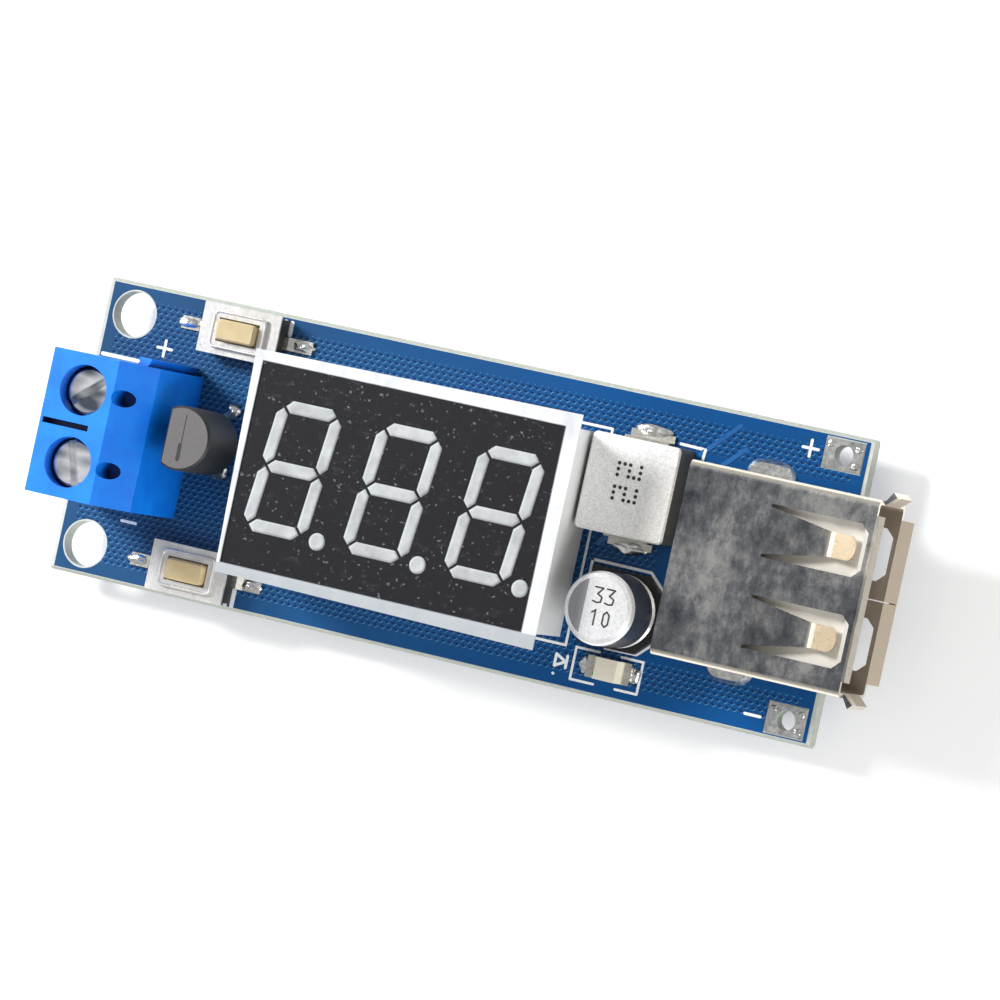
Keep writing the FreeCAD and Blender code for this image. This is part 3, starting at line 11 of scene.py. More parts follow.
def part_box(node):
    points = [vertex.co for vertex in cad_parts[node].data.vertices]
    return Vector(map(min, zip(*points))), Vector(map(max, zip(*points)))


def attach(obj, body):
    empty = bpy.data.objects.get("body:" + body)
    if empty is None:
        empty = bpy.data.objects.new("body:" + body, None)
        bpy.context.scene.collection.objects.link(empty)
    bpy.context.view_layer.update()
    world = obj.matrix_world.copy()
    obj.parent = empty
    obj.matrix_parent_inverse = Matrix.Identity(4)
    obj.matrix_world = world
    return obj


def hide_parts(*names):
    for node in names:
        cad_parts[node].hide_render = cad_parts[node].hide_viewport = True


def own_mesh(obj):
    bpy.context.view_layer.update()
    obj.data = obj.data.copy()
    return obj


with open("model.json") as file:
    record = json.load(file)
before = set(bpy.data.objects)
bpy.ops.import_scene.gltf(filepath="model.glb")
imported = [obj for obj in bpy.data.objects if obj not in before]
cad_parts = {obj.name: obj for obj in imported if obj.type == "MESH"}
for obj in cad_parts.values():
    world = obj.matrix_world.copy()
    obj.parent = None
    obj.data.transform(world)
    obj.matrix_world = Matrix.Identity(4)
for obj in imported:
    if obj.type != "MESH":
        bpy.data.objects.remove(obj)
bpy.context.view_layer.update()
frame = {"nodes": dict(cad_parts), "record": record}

# Sizes are in mm. A board place is measured from the board's left lower corner and its top.
MM = 0.001
MODULE_LENGTH = 61.25    # with the socket's mouth
BOARD_LENGTH = 57.2
BOARD_WIDTH = 20.9
BOARD_TOP = 3.2          # above the tips of the leads
HALF_LENGTH = MODULE_LENGTH / 2
CENTRE_Y = BOARD_WIDTH / 2
RIM = 0.27               # bare laminate that the mask leaves along the edges
MASK_THICK = 0.03
INK_THICK = 0.025
PRINT_THICK = 0.012
SIDES = ("upper", "lower")

# Upper spring fingers of the socket: where they bend and end, their rise, and each one's lane
FINGER_BEND_X = 57.5
FINGER_TIP_X = 59.0
FINGER_REACH = 0.55
FINGER_SLOPE = 0.214
FINGER_LANES = {"upper": (12.5, 14.9), "lower": (6.4, 8.8)}


def at(x, y, z=0.0):
    """A place on the board, in mm from its corner and its top, as metres in the row frame."""
    return Vector(((x - HALF_LENGTH) * MM, (y - CENTRE_Y) * MM, (BOARD_TOP + z) * MM))


def board_box(node):
    """A CAD node's low and high corner as board places."""
    origin = at(0, 0)
    return [(corner - origin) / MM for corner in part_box(node)]


def middle(node):
    """The middle of a CAD node's box as a board place."""
    low, high = board_box(node)
    return (low + high) / 2


# Materials
class Nodes:
    """Small helper round one material's node tree."""

    def __init__(self, name):
        self.mat = bpy.data.materials.new(name)
        self.mat.use_nodes = True
        self.tree = self.mat.node_tree
        self.bsdf = self.tree.nodes["Principled BSDF"]
        self.coords = None

    def add(self, kind, **values):
        node = self.tree.nodes.new(kind)
        for key, value in values.items():
            setattr(node, key, value)
        return node

    def link(self, a, b):
        self.tree.links.new(a, b)

    def put(self, node, key, value):
        """Link another node's output to an input, or set the input to a constant."""
        if hasattr(value, "is_output"):
            self.link(value, node.inputs[key])
        else:
            node.inputs[key].default_value = value

    def math(self, op, a, b=0.0, c=None, clamp=False):
        node = self.add("ShaderNodeMath", operation=op, use_clamp=clamp)
        self.put(node, 0, a)
        self.put(node, 1, b)
        if c is not None:
            self.put(node, 2, c)
        return node.outputs[0]

    def place(self):
        """Object coordinates in mm, as (vector, x, y, z)."""
        if self.coords is None:
            tex = self.add("ShaderNodeTexCoord")
            scale = self.add("ShaderNodeVectorMath", operation="SCALE")
            self.link(tex.outputs["Object"], scale.inputs[0])
            scale.inputs["Scale"].default_value = 1 / MM
            split = self.add("ShaderNodeSeparateXYZ")
            self.link(scale.outputs[0], split.inputs[0])
            self.coords = (scale.outputs[0], *split.outputs)
        return self.coords

    def noise(self, scale, detail=3.0, rough=0.55, stretch=None):
        node = self.add("ShaderNodeTexNoise")
        node.inputs["Scale"].default_value = scale
        node.inputs["Detail"].default_value = detail
        node.inputs["Roughness"].default_value = rough
        vector = self.place()[0]
        if stretch:
            mul = self.add("ShaderNodeVectorMath", operation="MULTIPLY")
            self.link(vector, mul.inputs[0])
            mul.inputs[1].default_value = stretch
            vector = mul.outputs[0]
        self.link(vector, node.inputs["Vector"])
        return node.outputs[0]

    def ramp(self, value, stops):
        node = self.add("ShaderNodeValToRGB")
        cells = node.color_ramp.elements
        while len(cells) < len(stops):
            cells.new(0.5)
        for cell, (pos, colour) in zip(cells, stops):
            cell.position = pos
            cell.color = (*colour, 1.0)
        self.link(value, node.inputs[0])
        return node.outputs[0]

    def mix(self, factor, a, b):
        node = self.add("ShaderNodeMix", data_type="RGBA")
        self.put(node, 0, factor)
        for index, value in ((6, a), (7, b)):    # the two colour inputs
            self.put(node, index, value if hasattr(value, "is_output") else (*value, 1.0))
        return node.outputs[2]

    def fade(self, value, start, end, first=0.0, last=1.0):
        """first below start, last past end, and a straight run between them."""
        node = self.add("ShaderNodeMapRange")
        settings = {"Value": value, "From Min": start, "From Max": end, "To Min": first, "To Max": last}
        for key, setting in settings.items():
            self.put(node, key, setting)
        return node.outputs[0]

    def band(self, value, low, high, soft=0.02):
        """1 where low < value < high, with soft ends."""
        up = self.fade(value, low - soft, low + soft)
        down = self.fade(value, high - soft, high + soft, 1.0, 0.0)
        return self.math("MULTIPLY", up, down)

    def along(self, low, high, soft=0.02):
        """1 between two places along the board."""
        return self.band(self.place()[1], low - HALF_LENGTH, high - HALF_LENGTH, soft)

    def across(self, low, high, soft=0.02):
        """1 between two places across the board."""
        return self.band(self.place()[2], low - CENTRE_Y, high - CENTRE_Y, soft)

    def bump(self, height, distance, strength=1.0):
        node = self.add("ShaderNodeBump")
        node.inputs["Strength"].default_value = strength
        node.inputs["Distance"].default_value = distance * MM
        self.link(height, node.inputs["Height"])
        self.link(node.outputs[0], self.bsdf.inputs["Normal"])

    def normal(self):
        """The direction that a face looks, as (x, y, z)."""
        geo = self.add("ShaderNodeNewGeometry")
        split = self.add("ShaderNodeSeparateXYZ")
        self.link(geo.outputs["Normal"], split.inputs[0])
        return tuple(split.outputs)

    def finish(self, colour, rough, metal_amount=0.0):
        self.link(colour, self.bsdf.inputs["Base Color"])
        self.put(self.bsdf, "Roughness", rough)
        self.put(self.bsdf, "Metallic", metal_amount)
        return self.mat


def srgb(r, g, b):
    """A colour given in 0 to 255 as linear values."""
    out = []
    for c in (r, g, b):
        c = c / 255
        out.append(c / 12.92 if c <= 0.04045 else ((c + 0.055) / 1.055) ** 2.4)
    return tuple(out)


def plastic(name, dark, light, rough=0.45, grain=14.0, depth=0.004):
    """Moulded plastic: faint mottling, fine grain."""
    m = Nodes(name)
    cloud = m.noise(0.5, 4.0)
    fine = m.noise(grain, 3.0)
    colour = m.ramp(cloud, [(0.3, dark), (0.7, light)])
    m.bump(fine, depth)
    return m.finish(colour, m.math("MULTIPLY_ADD", fine, 0.15, rough - 0.07))


def metal(name, dark, light, rough=0.3, stretch=(1, 1, 1), fine=9.0, depth=0.004, amount=1.0):
    """Plated or tinned metal: cloudy tint, streaks and small pits."""
    m = Nodes(name)
    tint = m.noise(0.8, 5.0, 0.6, stretch)
    grit = m.noise(fine, 4.0, 0.6, stretch)
    both = m.math("MULTIPLY_ADD", grit, 0.45, m.math("MULTIPLY", tint, 0.55))
    colour = m.ramp(both, [(0.35, dark), (0.65, light)])
    m.bump(grit, depth)
    return m.finish(colour, m.math("MULTIPLY_ADD", grit, 0.25, rough - 0.1), amount)


def board_material():
    """The laminate: bare light rim on top, fibre edges, masked underside."""
    m = Nodes("laminate")
    weave = m.noise(3.0, 4.0, 0.6, (1, 1, 12))
    edge = m.ramp(weave, [(0.35, srgb(146, 152, 142)), (0.65, srgb(188, 194, 184))])
    rim = m.ramp(m.noise(2.0), [(0.3, srgb(184, 190, 184)), (0.7, srgb(206, 208, 200))])
    under = m.ramp(m.noise(0.4), [(0.3, srgb(8, 66, 122)), (0.7, srgb(12, 86, 150))])
    nz = m.normal()[2]
    colour = m.mix(m.math("GREATER_THAN", nz, 0.6), edge, rim)
    colour = m.mix(m.math("LESS_THAN", nz, -0.6), colour, under)
    m.bump(weave, 0.01)
    return m.finish(colour, 0.5)


def mask_material():
    """Blue solder mask over a hatched ground plane, plain along the edges."""
    m = Nodes("solder_mask")
    _, x, y, _ = m.place()
    column_pitch, row_pitch = 0.51, 0.37
    pit_size, pit_highlight_size = 0.38, 0.42
    plain_edge = 1.15
    plain_lane_x, plain_lane_y = (43.925, 57.625), (3.15, 17.65)
    # each row of pits is half a pitch out of step with its neighbours
    row = m.math("DIVIDE", y, row_pitch)
    shift = m.math("MULTIPLY", m.math("MODULO", m.math("FLOOR", row), 2.0), 0.5)
    u = m.math("SUBTRACT", m.math("FRACT", m.math("ADD", m.math("DIVIDE", x, column_pitch), shift)), 0.5)
    v = m.math("SUBTRACT", m.math("FRACT", row), 0.5)

    def diamond(du, dv, size):
        """1 inside a diamond whose middle is du, dv off the pit's."""
        a = m.math("ABSOLUTE", m.math("SUBTRACT", u, du))
        b = m.math("ABSOLUTE", m.math("SUBTRACT", v, dv))
        return m.math("LESS_THAN", m.math("ADD", a, b), size)

    pit = diamond(0.0, 0.0, pit_size)
    # painted highlight: a pale crescent on one side of each pit, where light catches its rim
    pit_highlight = m.math("SUBTRACT", diamond(0.09, -0.1, pit_highlight_size), pit, clamp=True)
    inside = m.math("MULTIPLY", m.along(plain_edge, BOARD_LENGTH - plain_edge),
                    m.across(plain_edge, BOARD_WIDTH - plain_edge))
    # the copper is plain under the small parts and the socket
    lane = m.math("MULTIPLY", m.along(*plain_lane_x), m.across(*plain_lane_y))
    inside = m.math("SUBTRACT", inside, lane, clamp=True)
    cloud = m.noise(0.18, 3.0)
    # less saturated towards the terminal end, as in the photograph
    from_terminal = m.fade(x, -30.0, 10.0)
    base = m.mix(from_terminal, srgb(38, 82, 122), srgb(0, 79, 142))
    dim = m.mix(from_terminal, srgb(26, 62, 98), srgb(0, 60, 114))
    ground = m.mix(m.math("MULTIPLY_ADD", cloud, 0.5, 0.1), base, dim)
    dark = m.mix(m.math("MULTIPLY", pit, inside), ground, srgb(2, 48, 96))
    colour = m.mix(m.math("MULTIPLY", m.math("MULTIPLY", pit_highlight, inside), 0.55), dark, srgb(96, 158, 200))
    height = m.math("SUBTRACT", 1.0, m.math("MULTIPLY", pit, inside))
    m.bump(height, 0.03, 0.6)
    m.bsdf.inputs["Specular IOR Level"].default_value = 0.22
    return m.finish(colour, m.math("MULTIPLY_ADD", cloud, 0.1, 0.26))


def trace_material():
    """Copper tracks under the solder mask, a little lighter than the ground plane."""
    m = Nodes("masked_track")
    cloud = m.noise(0.5)
    colour = m.ramp(cloud, [(0.3, srgb(2, 82, 150)), (0.7, srgb(22, 102, 170))])
    m.bump(m.noise(8.0), 0.003)
    return m.finish(colour, 0.28)


def ink_material():
    """White legend ink, slightly grainy."""
    m = Nodes("legend_ink")
    grain = m.noise(9.0, 4.0)
    colour = m.ramp(grain, [(0.3, srgb(214, 220, 226)), (0.55, srgb(244, 246, 248))])
    m.bump(grain, 0.006)
    return m.finish(colour, 0.6)


def display_black_material():
    """Printed black face with dust specks and faint scuffs."""
    m = Nodes("display_black")
    fine = m.noise(16.0, 4.0, 0.7)
    specks = m.band(m.noise(4.0, 2.0, 0.5), 0.69, 1.0, 0.015)
    scuff = m.band(m.noise(0.9, 6.0, 0.75, (1, 2.2, 1)), 0.62, 0.68, 0.03)
    colour = m.ramp(fine, [(0.3, srgb(12, 11, 14)), (0.7, srgb(24, 22, 28))])
    colour = m.mix(m.math("MULTIPLY", scuff, 0.12), colour, srgb(120, 120, 128))
    colour = m.mix(m.math("MULTIPLY", specks, 0.4), colour, srgb(160, 160, 164))
    m.bump(fine, 0.004)
    m.bsdf.inputs["Specular IOR Level"].default_value = 0.2
    return m.finish(colour, 0.5)


def segment_material():
    """Milky resin of the display's bars."""
    m = Nodes("segment_resin")
    cloud = m.noise(0.8, 4.0)
    fine = m.noise(12.0)
    colour = m.ramp(cloud, [(0.3, srgb(168, 167, 166)), (0.7, srgb(200, 199, 197))])
    # painted shade and painted highlight make each bar's edges look rounded: grey on the side away from the
    # light, paler on the other
    edge_radius, away_from_light = 0.3, (0.9, -0.45, 0.0)
    bevel = m.add("ShaderNodeBevel", samples=6)
    bevel.inputs["Radius"].default_value = edge_radius * MM
    lean = m.add("ShaderNodeVectorMath", operation="DOT_PRODUCT")
    m.link(bevel.outputs[0], lean.inputs[0])
    lean.inputs[1].default_value = away_from_light
    shade = m.math("MULTIPLY", lean.outputs["Value"], 3.0, clamp=True)
    colour = m.mix(shade, colour, srgb(92, 92, 94))
    painted_highlight = m.math("MULTIPLY", lean.outputs["Value"], -1.2, clamp=True)
    colour = m.mix(painted_highlight, colour, srgb(236, 236, 234))
    m.bump(fine, 0.003)
    m.bsdf.inputs["Subsurface Weight"].default_value = 0.15
    m.bsdf.inputs["Subsurface Scale"].default_value = 0.0006
    return m.finish(colour, 0.42)


def film_material():
    """Clear over the face, frosted where it overhangs the housing."""
    m = Nodes("film")
    low, high = board_box("display_housing")
    face = m.math("MULTIPLY", m.along(low.x, high.x, 0.06), m.across(low.y, high.y, 0.06))
    streak = m.noise(0.6, 5.0, 0.6, (1.2, 0.6, 1))
    frost_colour = m.ramp(streak, [(0.3, srgb(204, 207, 211)), (0.66, srgb(234, 236, 238))])
    # painted shade: the film's overhang on the lower side is drawn darker and greyer than on the upper side
    shaded_lower_strip = m.math("LESS_THAN", m.place()[2], low.y - CENTRE_Y)
    frost_colour = m.mix(m.math("MULTIPLY", shaded_lower_strip, 0.75), frost_colour, srgb(156, 163, 168))
    clear = m.add("ShaderNodeBsdfTransparent")
    clear.inputs[0].default_value = (0.97, 0.98, 0.99, 1)
    gloss = m.add("ShaderNodeBsdfGlossy")
    gloss.inputs["Roughness"].default_value = 0.12
    sheen = m.add("ShaderNodeMixShader")
    sheen.inputs[0].default_value = 0.015
    m.link(clear.outputs[0], sheen.inputs[1])
    m.link(gloss.outputs[0], sheen.inputs[2])
    m.finish(frost_colour, 0.4)
    m.bsdf.inputs["Alpha"].default_value = 0.86
    out = m.tree.nodes["Material Output"]
    both = m.add("ShaderNodeMixShader")
    m.link(face, both.inputs[0])
    m.link(m.bsdf.outputs[0], both.inputs[1])
    m.link(sheen.outputs[0], both.inputs[2])
    m.link(both.outputs[0], out.inputs["Surface"])
    return m.mat


def moulding_material():
    """Black epoxy, with a painted highlight that makes its top face greyer."""
    m = Nodes("moulding_compound")
    fine = m.noise(16.0, 4.0, 0.6)
    side = m.ramp(fine, [(0.3, srgb(20, 20, 22)), (0.7, srgb(36, 36, 38))])
    top = m.ramp(fine, [(0.3, srgb(80, 78, 78)), (0.7, srgb(102, 99, 99))])
    # painted highlight: faces that look up are drawn grey, the sides black
    colour = m.mix(m.band(m.normal()[2], 0.8, 2.0, 0.08), side, top)
    m.bump(fine, 0.012)
    return m.finish(colour, 0.5)


def inductor_material():
    """Pressed powder: pale speckled top, with painted shade that darkens the sides."""
    m = Nodes("inductor_powder")
    speck = m.noise(7.0, 5.0, 0.7)
    top = m.ramp(speck, [(0.32, srgb(200, 200, 200)), (0.6, srgb(236, 236, 234))])
    side = m.ramp(speck, [(0.3, srgb(60, 60, 58)), (0.7, srgb(88, 88, 84))])
    # painted shade: the sides are drawn dark grey
    colour = m.mix(m.band(m.normal()[2], 0.6, 2.0, 0.1), side, top)
    m.bump(speck, 0.02)
    return m.finish(colour, 0.55)


def capacitor_material():
    """Brushed can with the grey polarity sector on its top."""
    m = Nodes("can_aluminium")
    _, x, _, z = m.place()
    low, high = board_box("capacitor_can")
    sector_width, top_band = 1.51, 0.2
    grit = m.noise(6.0, 4.0, 0.6)
    silver = m.ramp(grit, [(0.3, srgb(214, 215, 217)), (0.7, srgb(244, 244, 245))])
    sector = m.math("MULTIPLY", m.math("LESS_THAN", x, low.x + sector_width - HALF_LENGTH),
                    m.math("GREATER_THAN", m.normal()[2], 0.9))
    sector = m.math("MULTIPLY", sector, m.math("GREATER_THAN", z, BOARD_TOP + high.z - top_band))
    # painted shade: the can's upright wall is drawn dark, though it is the same aluminium as the top
    shaded_wall = m.ramp(grit, [(0.3, srgb(62, 64, 68)), (0.7, srgb(96, 98, 102))])
    colour = m.mix(m.math("LESS_THAN", m.normal()[2], 0.35), silver, shaded_wall)
    colour = m.mix(sector, colour, srgb(132, 134, 139))
    m.bump(grit, 0.004)
    rough = m.math("MULTIPLY_ADD", sector, 0.25, 0.3)
    return m.finish(colour, rough, m.math("MULTIPLY_ADD", sector, -0.3, 0.5))


def shell_material():
    """Nickel plate with darker blotches and rolling streaks, partly dulled plate and partly painted
    reflection; painted highlights brighten the bends.
    """
    m = Nodes("shell_nickel")
    patch = m.noise(0.17, 2.0, 0.5)
    streak = m.noise(0.8, 7.0, 0.75, (1.3, 0.8, 1))
    speck = m.noise(9.0, 4.0, 0.65)
    # the blotches are partly the plate's own mottling and partly painted reflection of dark surroundings
    mottle_and_reflection = m.math("MULTIPLY_ADD", patch, 0.5, m.math("MULTIPLY", streak, 0.5))
    flat = m.ramp(mottle_and_reflection, [(0.38, srgb(72, 74, 80)), (0.5, srgb(120, 122, 126)), (0.62, srgb(184, 183, 180))])
    _, normal_y, normal_z = m.normal()
    # painted highlight: faces that turn away from flat, at the bends and slopes, are drawn bright
    bend_highlight = m.band(normal_z, -0.4, 0.93, 0.05)
    colour = m.mix(m.math("MULTIPLY", bend_highlight, 0.8), flat, srgb(238, 230, 214))
    # the rubbed, turned-up tips of the two upper fingers, with a painted highlight along the crease at their
    # bend
    _, x, y, z = m.place()
    lanes = m.math("ADD", m.across(*FINGER_LANES["upper"]), m.across(*FINGER_LANES["lower"]))
    tip = m.math("MULTIPLY", m.along(FINGER_BEND_X, FINGER_TIP_X + 0.9, 0.08), lanes)
    colour = m.mix(m.math("MULTIPLY", tip, 0.85), colour, srgb(196, 176, 146))
    crease_highlight = m.math("MULTIPLY", m.along(FINGER_BEND_X, FINGER_BEND_X + 0.35, 0.12), lanes)
    colour = m.mix(m.math("MULTIPLY", crease_highlight, 0.9), colour, srgb(255, 246, 226))
    # the inner faces of the lower sheet and lips, seen through the mouth, are duller and carry a painted
    # brownish reflection
    mouth_x, mouth_top, shell_middle = 57.0, 4.6, 0.1
    side = m.math("MULTIPLY", m.math("SIGN", m.math("SUBTRACT", y, shell_middle)), normal_y)
    inward = m.math("MAXIMUM", m.math("GREATER_THAN", normal_z, 0.3), m.math("LESS_THAN", side, -0.3))
    low_front = m.math("MULTIPLY", m.math("GREATER_THAN", x, mouth_x - HALF_LENGTH),
                       m.math("LESS_THAN", z, BOARD_TOP + mouth_top))
    mouth = m.math("MULTIPLY", low_front, inward)
    colour = m.mix(m.math("MULTIPLY", mouth, 0.75), colour, srgb(160, 144, 124))
    dots = m.band(speck, 0.68, 1.0, 0.02)
    colour = m.mix(m.math("MULTIPLY", dots, 0.35), colour, srgb(70, 68, 66))
    m.bump(speck, 0.006)
    rough = m.math("MULTIPLY_ADD", speck, 0.2, m.math("MULTIPLY_ADD", mouth, 0.2, 0.2))
    return m.finish(colour, rough, m.math("MULTIPLY_ADD", mouth, -0.35, 1.0))


def terminal_material():
    """Bright blue moulding, with painted shade down in its wells, holes and slot."""
    m = Nodes("terminal_plastic")
    colour = m.ramp(m.noise(0.5, 4.0), [(0.3, srgb(0, 112, 228)), (0.7, srgb(8, 132, 244))])
    well_depth = 2.2
    # painted shade: ambient occlusion darkens the recesses
    occlusion_shade = m.add("ShaderNodeAmbientOcclusion", samples=6)
    occlusion_shade.inputs["Distance"].default_value = well_depth * MM
    open_share = m.math("MULTIPLY_ADD", occlusion_shade.outputs["AO"], 2.2, -0.5, clamp=True)
    colour = m.mix(open_share, srgb(0, 26, 84), colour)
    fine = m.noise(14.0, 3.0)
    m.bump(fine, 0.004)
    return m.finish(colour, m.math("MULTIPLY_ADD", fine, 0.15, 0.29))


def screw_material():
    """Chrome with sharp painted light and dark reflections."""
    m = Nodes("screw_steel")
    reflection_sweep = m.noise(0.42, 1.5, 0.4, (0.6, 1.6, 1))
    # painted reflection: a stretched noise sets the bright and dark streaks
    colour = m.ramp(reflection_sweep, [(0.33, srgb(96, 104, 116)), (0.43, srgb(214, 218, 222)),
                            (0.5, srgb(255, 255, 255)), (0.66, srgb(176, 182, 190))])
    grit = m.noise(5.0, 3.0)
    m.bump(grit, 0.003)
    return m.finish(colour, m.math("MULTIPLY_ADD", grit, 0.15, 0.1), 0.85)


MATERIALS = {
    "board": board_material(),
    "solder": metal("solder", srgb(176, 177, 178), srgb(252, 252, 250), 0.17, fine=3.0, depth=0.025),
    "terminal_plastic": terminal_material(),
    "screw_steel": screw_material(),
    "cage_steel": metal("cage_steel", srgb(160, 162, 160), srgb(210, 210, 206), 0.32),
    "tinned_copper": metal("tinned_copper", srgb(176, 174, 166), srgb(228, 226, 216), 0.3, fine=6.0),
    "moulding_compound": moulding_material(),
    "switch_base_plastic": plastic("switch_base_plastic", srgb(26, 26, 28), srgb(40, 40, 42), 0.5),
    "switch_cover_steel": metal("switch_cover_steel", srgb(204, 202, 199), srgb(238, 236, 233), 0.3,
                                (1, 0.4, 1), amount=0.6),
    "plunger_plastic": plastic("plunger_plastic", srgb(188, 167, 122), srgb(207, 187, 146), 0.42),
    "dome_steel": metal("dome_steel", srgb(170, 170, 168), srgb(214, 214, 210), 0.25),
    "display_plastic": plastic("display_plastic", srgb(224, 225, 225), srgb(236, 236, 235), 0.45),
    "display_black": display_black_material(),
    "segment_resin": segment_material(),
    "potting": plastic("potting", srgb(206, 204, 194), srgb(226, 224, 214), 0.5, 6.0, 0.02),
    "film": film_material(),
    "inductor_powder": inductor_material(),
    "can_aluminium": capacitor_material(),
    "capacitor_plastic": plastic("capacitor_plastic", srgb(20, 20, 22), srgb(34, 34, 36), 0.45),
    "carrier_laminate": plastic("carrier_laminate", srgb(214, 206, 182), srgb(232, 226, 206), 0.5),
    "lens_resin": plastic("lens_resin", srgb(214, 208, 188), srgb(238, 233, 218), 0.2, 8.0, 0.003),
    "shell_nickel": shell_material(),
    "insulator_plastic": plastic("insulator_plastic", srgb(216, 210, 198), srgb(238, 235, 226), 0.45),
    "contact_brass": metal("contact_brass", srgb(196, 150, 70), srgb(232, 196, 118), 0.28),
    "ceramic": plastic("ceramic", srgb(156, 128, 92), srgb(182, 152, 112), 0.4),
    "resistor_ceramic": plastic("resistor_ceramic", srgb(24, 24, 26), srgb(44, 44, 46), 0.35),
}
MASK = mask_material()
TRACK = trace_material()
INK = ink_material()
GREEN = plastic("lens_dot", srgb(40, 130, 70), srgb(66, 168, 96), 0.3)
PRINT = plastic("printed_marks", srgb(24, 24, 24), srgb(44, 44, 44), 0.6)

slots = {s["node"]: s["material_slot"] for s in frame["record"]["subparts"]}
for node, thing in frame["nodes"].items():
    thing.data.materials.clear()
    thing.data.materials.append(MATERIALS[slots[node]])

# Moulded and pressed edges of CAD nodes
EDGES = {
    "terminal_housing": 0.1, "reference_body": 0.1, "inductor_body": 0.12, "display_housing": 0.08,
    "display_segments": 0.2, "indicator_lens": 0.1, "indicator_terminals": 0.06, "capacitor_base": 0.08,
    "inductor_terminals": 0.03,
}
for side in SIDES:
    EDGES.update({f"{side}_switch_cover": 0.09, f"{side}_switch_plunger": 0.09,
                  f"{side}_terminal_screw": 0.05, f"{side}_switch_terminals": 0.03})
for node, width in EDGES.items():
    bevel = frame["nodes"][node].modifiers.new("edges", "BEVEL")
    bevel.width = width * MM
    bevel.segments = 2
    bevel.limit_method = "ANGLE"
    bevel.angle_limit = math.radians(35)
    bevel.use_clamp_overlap = True
    bevel.harden_normals = False


# Pieces
def add_mesh(name, bm, material, body="board", smooth=False):
    """A new piece from a finished mesh, riding on a body."""
    mesh = bpy.data.meshes.new(name)
    bmesh.ops.recalc_face_normals(bm, faces=bm.faces)
    bm.to_mesh(mesh)
    bm.free()
    thing = bpy.data.objects.new(name, mesh)
    bpy.context.scene.collection.objects.link(thing)
    mesh.materials.append(material)
    if smooth:
        for face in mesh.polygons:
            face.use_smooth = True
    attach(thing, body)


def close_prism(bm, low, high):
    """Both ends and the sides of a prism between two rings of vertices."""
    bm.faces.new(high)
    bm.faces.new(low[::-1])
    for i in range(len(low)):
        j = (i + 1) % len(low)
        bm.faces.new((low[i], low[j], high[j], high[i]))


def add_prism(bm, ring, low_z, high_z):
    """An upright prism on a ring of board places."""
    low = [bm.verts.new(at(x, y, low_z)) for x, y in ring]
    high = [bm.verts.new(at(x, y, high_z)) for x, y in ring]
    close_prism(bm, low, high)


def circle(x, y, r, steps=48):
    """Board places round a circle."""
    return [(x + r * math.cos(2 * math.pi * i / steps), y + r * math.sin(2 * math.pi * i / steps))
            for i in range(steps)]


def rectangle(x0, y0, x1, y1):
    """Board places at a rectangle's corners."""
    return [(x0, y0), (x1, y0), (x1, y1), (x0, y1)]


def shifted(lines, x, y, size=1.0):
    """Lines scaled and moved to a board place."""
    return [[(x + a * size, y + b * size) for a, b in line] for line in lines]


def sheet_from_loops(name, loops, z, thick, material):
    """A thin plate with holes: the first loop is its outline, the others are holes."""
    curve = bpy.data.curves.new(name, "CURVE")
    curve.dimensions = "2D"
    curve.fill_mode = "BOTH"
    curve.extrude = thick * MM / 2
    for loop in loops:
        spline = curve.splines.new("POLY")
        spline.points.add(len(loop) - 1)
        for point, (x, y) in zip(spline.points, loop):
            spot = at(x, y)
            point.co = (spot.x, spot.y, 0, 1)
        spline.use_cyclic_u = True
    thing = bpy.data.objects.new(name + "_curve", curve)
    bpy.context.scene.collection.objects.link(thing)
    bpy.context.view_layer.update()
    evaluated = thing.evaluated_get(bpy.context.evaluated_depsgraph_get())
    mesh = bpy.data.meshes.new_from_object(evaluated)
    bpy.data.objects.remove(thing)
    bm = bmesh.new()
    bm.from_mesh(mesh)
    bmesh.ops.remove_doubles(bm, verts=bm.verts, dist=1e-7)
    bmesh.ops.translate(bm, verts=bm.verts, vec=(0, 0, (BOARD_TOP + z + thick / 2) * MM))
    bpy.data.meshes.remove(mesh)
    add_mesh(name, bm, material)


def strokes(name, lines, width, z=MASK_THICK, material=INK, thick=INK_THICK):
    """Flat strokes with round ends, each line a list of board places, joined into one piece."""
    end_steps = 6
    bm = bmesh.new()
    laid = 0
    for line in lines:
        for (x0, y0), (x1, y1) in zip(line, line[1:]):
            angle = math.atan2(y1 - y0, x1 - x0)
            ring = []
            for (cx, cy), start in (((x1, y1), angle - math.pi / 2), ((x0, y0), angle + math.pi / 2)):
                for step in range(end_steps + 1):
                    turn = start + math.pi * step / end_steps
                    ring.append((cx + width / 2 * math.cos(turn), cy + width / 2 * math.sin(turn)))
            # crossing strokes have their tops at different heights, so none shades another
            add_prism(bm, ring, z, z + thick + 0.002 * (laid % 4))
            laid += 1
    add_mesh(name, bm, material)


def dotted(name, rows, x, y, pitch, size, z, along):
    """Printed marks laid out as rows of dots; along is the reading direction in the board's plane."""
    bm = bmesh.new()
    ux, uy = math.cos(along), math.sin(along)
    for r, row in enumerate(rows):
        for c, cell in enumerate(row):
            if cell == "#":
                a, b = (c - (len(row) - 1) / 2) * pitch, ((len(rows) - 1) / 2 - r) * pitch
                ring = circle(x + a * ux - b * uy, y + a * uy + b * ux, size / 2, 8)
                add_prism(bm, ring, z, z + PRINT_THICK)
    add_mesh(name, bm, PRINT)


